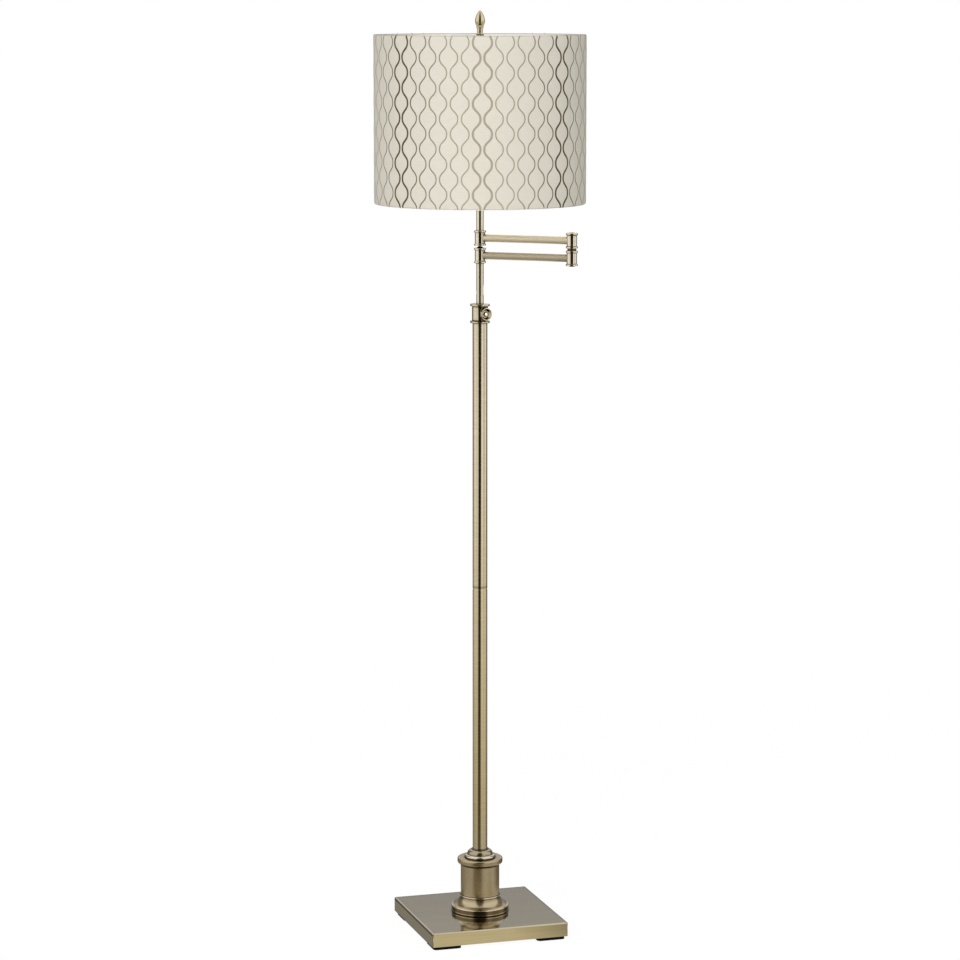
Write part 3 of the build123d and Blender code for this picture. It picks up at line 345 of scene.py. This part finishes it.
finishes = {
    "poleBrass": (makeBrass, poleFinish, ["pole_lower", "pole_upper"]),
    "stemBrass": (makeBrass, stemFinish, ["stem_tube"]),
    "innerBrass": (makeBrass, innerFinish, ["inner_pole"]),
    "jointBrass": (makeBrass, jointFinish, ["pole_coupling"]),
    "turnedBrass": (makeBrass, turnedFinish, ["finial"]),
    "collarBrass": (makeBrass, collarFinish, ["clamp_collar"]),
    "knuckleBrass": (makeBrass, knuckleFinish, ["lower_knuckle", "upper_knuckle"]),
    "elbowBrass": (makeBrass, elbowFinish, [
        "elbow_lower_knuckle", "elbow_upper_knuckle", "elbow_top_cap", "elbow_bottom_cap"]),
    "domeBrass": (makeBrass, domeFinish, ["pole_dome"]),
    "pivotBrass": (makeBrass, pivotFinish, ["pivot_cap"]),
    "knobBrass": (makeBrass, knobFinish, ["thumb_knob"]),
    "grooveBrass": (makeBrass, grooveFinish, ["elbow_washer"]),
    "armBrass": (makeBrass, armFinish, ["upper_arm_tube"]),
    "shadedLowArmBrass": (makeBrass, shadedLowArmFinish, ["lower_arm_tube"]),
    "footBrass": (makeBrass, footFinish, ["pedestal_foot"]),
    "sleeveBrass": (makeBrass, sleeveFinish, ["pedestal_sleeve"]),
    "capBrass": (makeBrass, capFinish, ["pedestal_cap"]),
    "baseBrass": (makeBrass, baseFinish, ["base_cover"]),
    "socketBrass": (makeBrass, socketFinish, [
        "socket_cap", "socket_shell", "harp", "harp_saddle", "harp_ferrules", "screw_shell"]),
    "zincSteel": (makePlain, steelFinish, [
        "bottom_plate", "base_screws", "tie_pipe", "tie_washer", "tie_nut", "pole_plug", "thumb_stud",
        "pivot_nipple", "elbow_nipple", "stem_nipple", "socket_nipple"]),
    "castIron": (makePlain, ironFinish, ["base_weight"]),
    "padRubber": (makePlain, rubberFinish, ["rubber_pads"]),
    "blackPlastic": (makePlain, blackFinish, ["cord_bushing", "socket_core", "switch_knob", "pivot_washer"]),
    "paleNylon": (makePlain, nylonFinish, ["guide_bush", "mast_guide", "screw_tip"]),
    "pressedFibre": (makePlain, fibreFinish, ["socket_liner"]),
    "frostedGlass": (makePlain, frostFinish, ["bulb_glass"]),
    "bulbMetal": (makePlain, aluminiumFinish, ["bulb_base"]),
    "shadeBacking": (makePlain, linerFinish, ["shade_liner"]),
    "whiteWire": (makePlain, wireFinish, ["shade_spider", "shade_top_wire", "shade_bottom_wire"]),
}


def dress(piece, material):
    piece.data.materials.clear()
    piece.data.materials.append(material)


for finishName, (maker, finishLook, wearers) in finishes.items():
    finishMaterial = maker(finishName, finishLook)
    for wearer in wearers:
        dress(cadNodes[wearer], finishMaterial)
print("finishes:", len(finishes))


# shade
shadeCloth = {
    "thick": 0.6 * mm,
    "wireReach": 3.3 * mm,  # from the cloth's face to the middle of the wire in the hem
    "hemTurn": 230.0,  # degrees that the hem goes round the wire
    "hemSteps": 10,
    "tail": 6.0 * mm,  # hem turned in below the wire
    "tailLayers": 2.4,  # cloths between the shade's face and the end of the tail
    "rows": 24,
    "around": 240,
    "flatOverlap": 12.0 * mm,
    "low": (0.715, 0.675, 0.58),
    "high": (0.765, 0.725, 0.63),
    "hemShadeTone": (0.36, 0.345, 0.3),  # colour of the painted shade on the rolled hem
    "hemShade": (2.2 * mm, 0.4 * mm, 0.7),  # how far from the edge the painted hem shade starts and is full, and its strength
    "weave": 0.7 * mm,
    "wobble": 1.2,
    "weaveDetail": 2.0,
    "weaveShade": (0.4, 0.12),  # where the hollows of the weave end, and how dark they are
    "slub": (90.0, 90.0, 700.0),  # waves per metre of the uneven yarn
    "rough": 0.85,
    "shine": 0.1,
    "bump": (0.25, 0.2 * mm),
}
ogeePattern = {
    "firstColumn": -105.75,  # bearing of a thick pale column, degrees from +X
    "columns": 30,
    "thickEvery": 4,  # every second thick column is dark
    "swing": 6.6 * mm,
    "flatten": 0.06,  # share of the third harmonic, which straightens the necks
    "period": 49.3 * mm,
    "firstBulb": 10.9 * mm,  # below the top edge
    "step": 1.6 * mm,
    "edge": 0.3 * mm,
    "fine": (2.3 * mm, 0.3 * mm),  # width and rise of the line
    "thick": (3.8 * mm, 0.45 * mm),
    "profile": [(-0.5, -0.3), (-0.38, 0.6), (0.0, 1.0), (0.38, 0.6), (0.5, -0.3)],  # shares of width and rise
    "pale": ((0.37, 0.325, 0.25), (0.47, 0.42, 0.335)),
    "dark": ((0.07, 0.05, 0.022), (0.12, 0.09, 0.045)),
    "darkening": 2.15,  # power by which the columns go from pale to dark
    "stitch": 0.5 * mm,
    "wobble": 0.8,
    "stitchDetail": 1.0,
    "rough": 0.6,
    "shine": 0.2,
    "bump": (0.4, 0.2 * mm),
    "seamWidth": 5.0 * mm,
    "seamRise": (-0.1 * mm, 0.35 * mm),  # foot and top of the lap, from the cloth's face
    "seamRows": 24,
}
waveLength = math.tau / 20  # Blender's wave texture at scale 1

shadeLow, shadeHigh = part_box("shade_cover")
shadeRadius = shadeHigh.x
wireLow, wireHigh = [corner.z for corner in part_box("shade_top_wire")]
hemLift = shadeHigh.z - wireHigh + (wireHigh - wireLow) / 2  # from the shade's edge to the middle of the wire


def polar(radius, angle, height):
    return (radius * math.cos(angle), radius * math.sin(angle), height)


def addPiece(name, points, faces, uvs, material, body):
    mesh = bpy.data.meshes.new(name)
    mesh.from_pydata(points, [], faces)
    layer = mesh.uv_layers.new(name="cloth")
    for loop in mesh.loops:
        layer.data[loop.index].uv = uvs[loop.vertex_index]
    mesh.polygons.foreach_set("use_smooth", [True] * len(mesh.polygons))
    mesh.materials.append(material)
    mesh.update()
    piece = bpy.data.objects.new(name, mesh)
    scene.collection.objects.link(piece)
    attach(piece, body)
    return piece


def hemRoll(wireHeight, upward, look):
    # cloth's middle line over the wire, from the outer face round to the turned-in tail
    across, rise = look["wireReach"] - look["thick"] / 2, hemLift - look["thick"] / 2
    wireRadius = shadeRadius - look["wireReach"]
    turns = [math.radians(look["hemTurn"]) * i / look["hemSteps"] for i in range(look["hemSteps"] + 1)]
    line = [(wireRadius + across * math.cos(turn), wireHeight + upward * rise * math.sin(turn)) for turn in turns]
    return line + [(shadeRadius - look["tailLayers"] * look["thick"], wireHeight - upward * look["tail"])]


def clothSection(look):
    topWire, lowWire = shadeHigh.z - hemLift, shadeLow.z + hemLift
    face = shadeRadius - look["thick"] / 2
    wall = [(face, lowWire + (topWire - lowWire) * i / look["rows"]) for i in range(1, look["rows"])]
    return hemRoll(lowWire, -1, look)[::-1] + wall + hemRoll(topWire, 1, look)


def offsetLine(line, side):
    moved = []
    for i, (radius, height) in enumerate(line):
        before, after = line[max(i - 1, 0)], line[min(i + 1, len(line) - 1)]
        alongR, alongZ = after[0] - before[0], after[1] - before[1]
        size = math.hypot(alongR, alongZ)
        moved.append((radius + side * alongZ / size, height - side * alongR / size))
    return moved


def makeShadeCloth(look, material):
    middle = clothSection(look)
    loop = offsetLine(middle, look["thick"] / 2) + offsetLine(middle, -look["thick"] / 2)[::-1]
    lengths = [0.0]
    for (r0, z0), (r1, z1) in zip(loop, loop[1:]):
        lengths.append(lengths[-1] + math.hypot(r1 - r0, z1 - z0))
    points, uvs, faces = [], [], []
    around, count = look["around"], len(loop)
    for turn in range(around):
        angle = math.tau * turn / around
        points += [polar(r, angle, z) for r, z in loop]
        uvs += [(shadeRadius * angle, length) for length in lengths]
        following = (turn + 1) % around
        faces += [(turn * count + i, following * count + i, following * count + (i + 1) % count,
                   turn * count + (i + 1) % count) for i in range(count)]
    return addPiece("shade_cloth", points, faces, uvs, material, "upper_arm")


def threadWaves(tree, place, direction, spacing, wobble, detail):
    return addNode(tree, "ShaderNodeTexWave", {"bands_direction": direction}, {
        "Vector": place, "Scale": waveLength / spacing, "Distortion": wobble, "Detail": detail}).outputs["Fac"]


def makeClothMaterial(look):
    material, tree, shader = newMaterial("shadeCloth")
    place = addNode(tree, "ShaderNodeTexCoord").outputs["UV"]
    warp, weft = [threadWaves(tree, place, direction, look["weave"], look["wobble"], look["weaveDetail"])
                  for direction in ("X", "Y")]
    weave = calc(tree, "MULTIPLY", warp, weft)
    shadeEnd, shadeDark = look["weaveShade"]
    hollow = mapRange(tree, weave, 0.0, shadeEnd, shadeDark, 0.0)
    tone = mixColours(tree, hollow, grainTone(tree, stretchedNoise(tree, look["slub"]), look), opaque(look["low"]))
    half = (shadeHigh.z - shadeLow.z) / 2
    fromMiddle = calc(tree, "ABSOLUTE", mapRange(tree, placeAlong(tree, "Z"), shadeLow.z, shadeHigh.z, -1.0, 1.0))
    # darker near both edges to paint shade on the rolled hem
    hemShadeStart, hemShadeFull, hemShadeDark = look["hemShade"]
    hemShade = mapRange(tree, fromMiddle, 1 - hemShadeStart / half, 1 - hemShadeFull / half, 0.0, hemShadeDark)
    tree.links.new(mixColours(tree, hemShade, tone, opaque(look["hemShadeTone"])), shader.inputs["Base Color"])
    shader.inputs["Roughness"].default_value = look["rough"]
    shader.inputs["Specular IOR Level"].default_value = look["shine"]
    addBump(tree, shader, weave, *look["bump"])
    return material


def makeThread(pattern):
    # one thread, pale on the first column and dark half a repeat further round
    material, tree, shader = newMaterial("stitchThread")
    strands = threadWaves(tree, addNode(tree, "ShaderNodeTexCoord").outputs["UV"], "X", pattern["stitch"],
                          pattern["wobble"], pattern["stitchDetail"])
    angle = bearingOf(tree, turnPlace(tree, objectPlace(tree), -math.radians(pattern["firstColumn"])))
    repeat = calc(tree, "MULTIPLY", angle, pattern["columns"] / (2 * pattern["thickEvery"]))
    swing = mapRange(tree, calc(tree, "COSINE", repeat), 1.0, -1.0, 0.0, 1.0)
    pale, dark = [mixColours(tree, strands, opaque(low), opaque(high))
                  for low, high in (pattern["pale"], pattern["dark"])]
    tone = mixColours(tree, calc(tree, "POWER", swing, pattern["darkening"]), pale, dark)
    tree.links.new(tone, shader.inputs["Base Color"])
    shader.inputs["Roughness"].default_value = pattern["rough"]
    shader.inputs["Specular IOR Level"].default_value = pattern["shine"]
    addBump(tree, shader, strands, *pattern["bump"])
    return material


def lineSize(column, pattern):
    # thick columns are counted both ways from the first, so the odd gap falls at the seam
    fromFirst = min(column, pattern["columns"] - column)
    return pattern["fine" if fromFirst % pattern["thickEvery"] else "thick"]


def stitchSection(pattern, width, rise):
    # across the line and up from the cloth
    return [(across * width, up * rise) for across, up in pattern["profile"]]


def hemInset(drop):
    # how far the cloth curls in over the wires at the two edges
    near = min(drop, shadeHigh.z - shadeLow.z - drop)
    curl = max(1 - near / hemLift, 0.0)
    return shadeCloth["wireReach"] * (1 - math.sqrt(1 - curl ** 2))


def stitchLine(line, pattern, section):
    side = 1 if line % 2 else -1
    middle = math.radians(pattern["firstColumn"]) + math.pi / pattern["columns"] * (line - 0.5)
    tall = shadeHigh.z - shadeLow.z - 2 * pattern["edge"]
    count = round(tall / pattern["step"])
    points, uvs, length = [], [], 0.0
    for i in range(count + 1):
        drop = pattern["edge"] + tall * i / count
        phase = math.tau * (drop - pattern["firstBulb"]) / pattern["period"]
        wander = side * pattern["swing"] * (math.cos(phase) - pattern["flatten"] * math.cos(3 * phase))
        lean = math.sin(phase) - 3 * pattern["flatten"] * math.sin(3 * phase)
        tilt = math.atan(-side * pattern["swing"] * lean * math.tau / pattern["period"])
        radius = shadeRadius - hemInset(drop)
        for across, rise in section:
            angle = middle + (wander + across * math.cos(tilt)) / shadeRadius
            points.append(polar(radius + rise, angle, shadeHigh.z - drop + across * math.sin(tilt)))
            uvs.append((length, across))
        length += tall / count / math.cos(tilt)
    return points, uvs


def makeStitching(pattern):
    points, uvs, faces = [], [], []
    for line in range(2 * pattern["columns"]):
        section = stitchSection(pattern, *lineSize(line // 2, pattern))
        sides, start = len(section), len(points)
        linePoints, lineUvs = stitchLine(line, pattern, section)
        points += linePoints
        uvs += lineUvs
        rings = len(linePoints) // sides
        for ring in range(rings - 1):
            first = start + ring * sides
            faces += [(first + i, first + sides + i, first + sides + (i + 1) % sides, first + (i + 1) % sides)
                      for i in range(sides)]
        faces.append(tuple(start + i for i in range(sides)))
        faces.append(tuple(start + (rings - 1) * sides + i for i in reversed(range(sides))))
    return addPiece("shade_stitching", points, faces, uvs, makeThread(pattern), "upper_arm")


def makeSeam(pattern, material):
    # lapped edge of the cloth, up the back
    middle = math.radians(pattern["firstColumn"]) + math.pi
    half, rows, (foot, top) = pattern["seamWidth"] / 2, pattern["seamRows"], pattern["seamRise"]
    section = [(-half, foot), (-half, top), (half, top), (half, foot)]
    sides = len(section)
    low, high = shadeLow.z + shadeCloth["wireReach"], shadeHigh.z - shadeCloth["wireReach"]
    points, uvs, faces = [], [], []
    for row in range(rows + 1):
        height = low + (high - low) * row / rows
        points += [polar(shadeRadius + up, middle + across / shadeRadius, height) for across, up in section]
        uvs += [(across, height) for across, up in section]
    for row in range(rows):
        first = sides * row
        faces += [(first + i, first + (i + 1) % sides, first + sides + (i + 1) % sides, first + sides + i)
                  for i in range(sides)]
    faces += [tuple(reversed(range(sides))), tuple(sides * rows + i for i in range(sides))]
    return addPiece("shade_seam", points, faces, uvs, material, "upper_arm")


clothMaterial = makeClothMaterial(shadeCloth)
cloth = makeShadeCloth(shadeCloth, clothMaterial)
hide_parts("shade_cover")
trims = [makeStitching(ogeePattern), makeSeam(ogeePattern, clothMaterial)]
print("shade: cloth, stitching and seam")


# studio
studio = {
    "floorSize": 160.0,
    "floor": (0.9, 0.9, 0.89),
    "floorGlow": 0.88,  # share of its own light that makes it white to the camera
    "floorLight": 1.045,
    "fill": 0.34,  # world's light on matt surfaces
    "sweepInner": 0.24,  # what the metal mirrors: floor from here out to the walls
    "sweepOuter": 6.0,
    "sweepHeight": 2.0,
    "sweepLift": 1.0 * mm,
    "sweepSides": 96,
    "stripSteps": 24,
    "stripStand": 0.98,  # share of the way out to the sweep at which the dark strips stand
    "stripTint": (1.0, 0.86, 0.45),
    "nearFade": 0.22,  # power by which the floor dims towards the lamp
    "nearGlow": (0.1, 0.2),  # light that the dark strip keeps: the first over the distance and the second
    "nearTint": (1.0, 0.8, 0.5),
    "nearTintFrom": 0.3,  # share of that light at which its tint begins
    "lean": (11.0, 1.0),  # degrees to the left by which the dark strip lies, near and far
    "nearReach": (0.8, 5.0),  # from the lamp, where the near steps below give way to the far ones
}
# brightness that the metal mirrors, by degrees to the right of the camera
farSteps = [
    (-180, 0.39), (-158, 0.39), (-150, 0.15), (-118, 0.15), (-108, 0.85), (-90, 0.88), (-72, 1.15), (-54, 0.84),
    (-38, 0.95), (-26, 0.9), (-17, 0.01), (0, 0.006), (16, 0.01), (23, 0.95), (32, 1.15), (42, 1.15),
    (58, 0.68), (76, 0.75), (90, 1.05), (106, 1.05), (116, 0.2), (150, 0.15), (158, 0.39), (180, 0.39)]
nearSteps = [
    (-180, 0.12), (-150, 0.12), (-138, 0.42), (-115, 0.56), (-86, 0.74), (-66, 0.8), (-48, 0.84),
    (-34, 0.9), (-25, 0.5), (-16, 0.1), (0, 0.04), (12, 0.1), (23, 0.65), (34, 0.98), (51, 0.98),
    (69, 0.86), (90, 1.0), (105, 0.8), (118, 0.45), (150, 0.3), (162, 0.12), (180, 0.12)]
# tint of that light, by distance from the lamp
toneSteps = [(0.0, (1.0, 1.0, 1.0)), (0.45, (1.0, 1.0, 1.0)), (0.75, (1.0, 0.93, 0.74)), (2.5, (1.0, 0.965, 0.87)),
             (6.0, (1.0, 1.0, 1.05))]
# dark strips that narrow to the point overhead: degrees to the right of the camera and half width, height of the
# foot, degrees up to the top, light at the foot and the top
strips = {
    "lowStrip": (0.0, 31.0, 0.55, 15.5, (0.02, 0.1)),
    "darkArch": (0.0, 26.0, 1.5, 88.0, (0.06, 0.13)),
    "leftWing": (-133.0, 14.0, 1.9, 50.0, (0.15, 0.5)),
    "rightWing": (133.0, 14.0, 1.9, 50.0, (0.15, 0.5)),
}
# cards seen only in the metal, by the finial, the arms and the base: middle, two half sides, light, and the X from
# which and to which it fades
fadedLight = 0.3
evenLight = (1.0, 2.0)  # past the set, so that the light doesn't fade
cards = {
    "finialFlag": ((-0.0278, -0.0908, 1.5365), (0.0191, -0.0058, 0.0), (-0.0219, -0.0717, 0.0), (0.1, 0.085, 0.04),
                   evenLight),
    "armCard": ((0.0768, 0.0632, 1.1), (0.066, -0.0535, 0.0), (0.0582, 0.0719, 0.0), (1.0, 0.98, 0.94), evenLight),
    "leftFlag": ((-0.1615, 0.05, 0.0015), (0.0385, 0.0, 0.0), (0.0, 0.21, 0.0), (0.3, 0.285, 0.255), evenLight),
    "frontCard": ((0.02, -0.174, 0.0015), (0.15, 0.0, 0.0), (0.0, 0.051, 0.0), (0.84, 0.775, 0.585), (0.04, 0.2)),
}
knobCard = {"away": 0.35, "half": 0.015, "light": (2.4, 2.6, 3.2)}
# softened suns: bearing and height in degrees, strength, width in degrees
lamps = {
    "keyLight": (-118.0, 30.0, 1.94, 50.0),
    "fillLight": (-70.0, 20.0, 0.08, 60.0),
    "topLight": (-100.0, 80.0, 0.3, 60.0),
}
# light that comes up into the shade and goes with it: drop below its edge, size and watts
shadeBounce = {"drop": 0.25, "size": 0.2, "power": 2.7}


def seenDirectly(tree):
    # 1 for what the camera, a mirror or glass sees
    path = addNode(tree, "ShaderNodeLightPath")
    mirror = calc(tree, "MAXIMUM", path.outputs["Is Camera Ray"], path.outputs["Is Glossy Ray"])
    return calc(tree, "MAXIMUM", mirror, path.outputs["Is Transmission Ray"])


def makeWorld(look):
    world = bpy.data.worlds.new("studioWorld")
    world.use_nodes = True
    scene.world = world
    tree = world.node_tree
    background = tree.nodes["Background"]
    background.inputs["Color"].default_value = (1.0, 1.0, 1.0, 1.0)
    tree.links.new(mapRange(tree, seenDirectly(tree), 0.0, 1.0, look["fill"], 1.0), background.inputs["Strength"])


def makeLamp(name, bearing, height, strength, width):
    data = bpy.data.lights.new(name, "SUN")
    data.energy = strength
    data.angle = math.radians(width)
    lamp = bpy.data.objects.new(name, data)
    lamp.rotation_euler = (math.radians(90 - height), 0, math.radians(bearing + 90))
    lamp.visible_glossy = False
    scene.collection.objects.link(lamp)


def makeBounce(place):
    data = bpy.data.lights.new("shadeBounce", "AREA")
    data.shape = "DISK"
    data.size = place["size"]
    data.energy = place["power"]
    lamp = bpy.data.objects.new("shadeBounce", data)
    lamp.location = (0, 0, shadeLow.z - place["drop"])
    lamp.rotation_euler = (math.pi, 0, 0)
    lamp.visible_glossy = False
    scene.collection.objects.link(lamp)
    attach(lamp, "upper_arm")


def bareMaterial(name):
    material, tree, shader = newMaterial(name)
    tree.nodes.remove(shader)
    return material, tree


def setGlow(material, tree, colour, strength):
    glow = addNode(tree, "ShaderNodeEmission", None, {"Color": colour, "Strength": strength})
    tree.links.new(glow.outputs["Emission"], tree.nodes["Material Output"].inputs["Surface"])
    material.cycles.emission_sampling = "NONE"


def makeFloor(look):
    material, tree = bareMaterial("paleFloor")
    matt = addNode(tree, "ShaderNodeBsdfDiffuse", None, {"Color": opaque(look["floor"])})
    white = addNode(tree, "ShaderNodeEmission", None, {"Strength": look["floorLight"]})
    share = mapRange(tree, seenDirectly(tree), 0.0, 1.0, 0.0, look["floorGlow"])
    upper = addNode(tree, "ShaderNodeMixShader", None, {
        0: share, 1: matt.outputs["BSDF"], 2: white.outputs["Emission"]})
    clear = addNode(tree, "ShaderNodeBsdfTransparent")
    surface = addNode(tree, "ShaderNodeMixShader", None, {  # clear from below, to show the underside
        0: addNode(tree, "ShaderNodeNewGeometry").outputs["Backfacing"],
        1: upper.outputs["Shader"], 2: clear.outputs["BSDF"]})
    tree.links.new(surface.outputs["Shader"], tree.nodes["Material Output"].inputs["Surface"])
    half = look["floorSize"] / 2
    mesh = bpy.data.meshes.new("studioFloor")
    mesh.from_pydata([(-half, -half, 0), (half, -half, 0), (half, half, 0), (-half, half, 0)], [], [(0, 1, 2, 3)])
    mesh.materials.append(material)
    floor = bpy.data.objects.new("studioFloor", mesh)
    scene.collection.objects.link(floor)


def addPaper(name, points, faces, material):
    # a piece of the studio that shows only in the metal
    mesh = bpy.data.meshes.new(name)
    mesh.from_pydata(points, [], faces)
    mesh.materials.append(material)
    paper = bpy.data.objects.new(name, mesh)
    scene.collection.objects.link(paper)
    for ray in ("camera", "diffuse", "transmission", "volume_scatter", "shadow"):
        setattr(paper, f"visible_{ray}", False)


def stepRamp(tree, measure, steps):
    # colour that goes through steps of (measure, colour)
    low, high = steps[0][0], steps[-1][0]
    ramp = addNode(tree, "ShaderNodeValToRGB", None, {"Fac": mapRange(tree, measure, low, high, 0.0, 1.0)})
    stops = ramp.color_ramp.elements
    for place, colour in steps[1:-1]:
        stops.new((place - low) / (high - low)).color = opaque(colour)
    stops[0].color, stops[len(stops) - 1].color = opaque(steps[0][1]), opaque(steps[-1][1])
    return ramp.outputs["Color"]


def makeSweep(look):
    # curved paper round the set, seen only in the metal
    material, tree = bareMaterial("studioPaper")
    turned = turnPlace(tree, objectPlace(tree), math.radians(-cameraPlace["bearing"]))
    reach = lengthOf(tree, turned, (1.0, 1.0, 0.0))
    lean = mapRange(tree, reach, look["sweepInner"], look["sweepOuter"], *look["lean"])
    right = calc(tree, "ADD", calc(tree, "DEGREES", bearingOf(tree, turned)), lean)
    nearLevel, farLevel = [stepRamp(tree, right, [(degrees, 3 * (level,)) for degrees, level in steps])
                           for steps in (nearSteps, farSteps)]
    mirrored = mixColours(tree, mapRange(tree, reach, *look["nearReach"], 0.0, 1.0), nearLevel, farLevel)
    share = mapRange(tree, reach, 0.0, look["sweepOuter"], 0.0, 1.0)
    far = calc(tree, "MULTIPLY", mirrored, calc(tree, "POWER", share, look["nearFade"]))
    near = calc(tree, "DIVIDE", look["nearGlow"][0], calc(tree, "ADD", reach, look["nearGlow"][1]))
    level = calc(tree, "MAXIMUM", far, near)
    nearShare = mapRange(tree, calc(tree, "DIVIDE", near, level), look["nearTintFrom"], 1.0, 0.0, 1.0)
    tint = mixColours(tree, nearShare, stepRamp(tree, reach, toneSteps), opaque(look["nearTint"]))
    setGlow(material, tree, tint, level)
    around, lift = look["sweepSides"], look["sweepLift"]
    rings = [(look["sweepInner"], lift), (look["sweepOuter"], lift), (look["sweepOuter"], look["sweepHeight"])]
    points = [polar(r, math.tau * i / around, z) for r, z in rings for i in range(around)]
    faces = [(ring * around + i, ring * around + (i + 1) % around, (ring + 1) * around + (i + 1) % around,
              (ring + 1) * around + i) for ring in range(len(rings) - 1) for i in range(around)]
    addPaper("studioPaper", points, faces, material)


def makeStrip(name, look, right, half, foot, top, light):
    # stands just before the sweep
    material, tree = bareMaterial(name)
    strength = mapRange(tree, placeAlong(tree, "Z"), foot, look["sweepOuter"], *light)
    setGlow(material, tree, opaque(look["stripTint"]), strength)
    steps, radius = look["stripSteps"], look["stripStand"] * look["sweepOuter"]
    first, last = math.asin(foot / radius), math.radians(top)
    sides = [math.radians(cameraPlace["bearing"] + right + side * half) for side in (-1, 1)]
    rises = [first + (last - first) * i / steps for i in range(steps + 1)]
    points = [polar(radius * math.cos(up), side, radius * math.sin(up)) for up in rises for side in sides]
    addPaper(name, points, [(2 * i, 2 * i + 1, 2 * i + 3, 2 * i + 2) for i in range(steps)], material)


def makeCard(name, middle, across, along, light, fadeAt):
    material, tree = bareMaterial(name)
    setGlow(material, tree, opaque(light), mapRange(tree, placeAlong(tree, "X"), *fadeAt, 1.0, fadedLight))
    middle, across, along = Vector(middle), Vector(across), Vector(along)
    corners = [middle - across - along, middle + across - along, middle + across + along, middle - across + along]
    addPaper(name, corners, [(0, 1, 2, 3)], material)


def makeKnobCard(look):
    # stands where the flat button of the knob mirrors it to the camera
    turn = 2 * math.atan2(knobMiddle.y, knobMiddle.x) - math.radians(cameraPlace["bearing"])
    dip = math.atan2(cameraPlace["height"] - knobMiddle.z, cameraPlace["distance"])
    place = knobMiddle + look["away"] * Vector((math.cos(turn), math.sin(turn), -math.tan(dip)))
    across = look["half"] * Vector((-math.sin(turn), math.cos(turn), 0))
    makeCard("knobCard", place, across, (0, 0, look["half"]), look["light"], evenLight)


makeWorld(studio)
makeFloor(studio)
makeSweep(studio)
for stripName, stripPlace in strips.items():
    makeStrip(stripName, studio, *stripPlace)
for cardName, cardPlace in cards.items():
    makeCard(cardName, *cardPlace)
makeKnobCard(knobCard)
for lampName, lampPlace in lamps.items():
    makeLamp(lampName, *lampPlace)
makeBounce(shadeBounce)
print("studio lit by", len(lamps), "lamps")
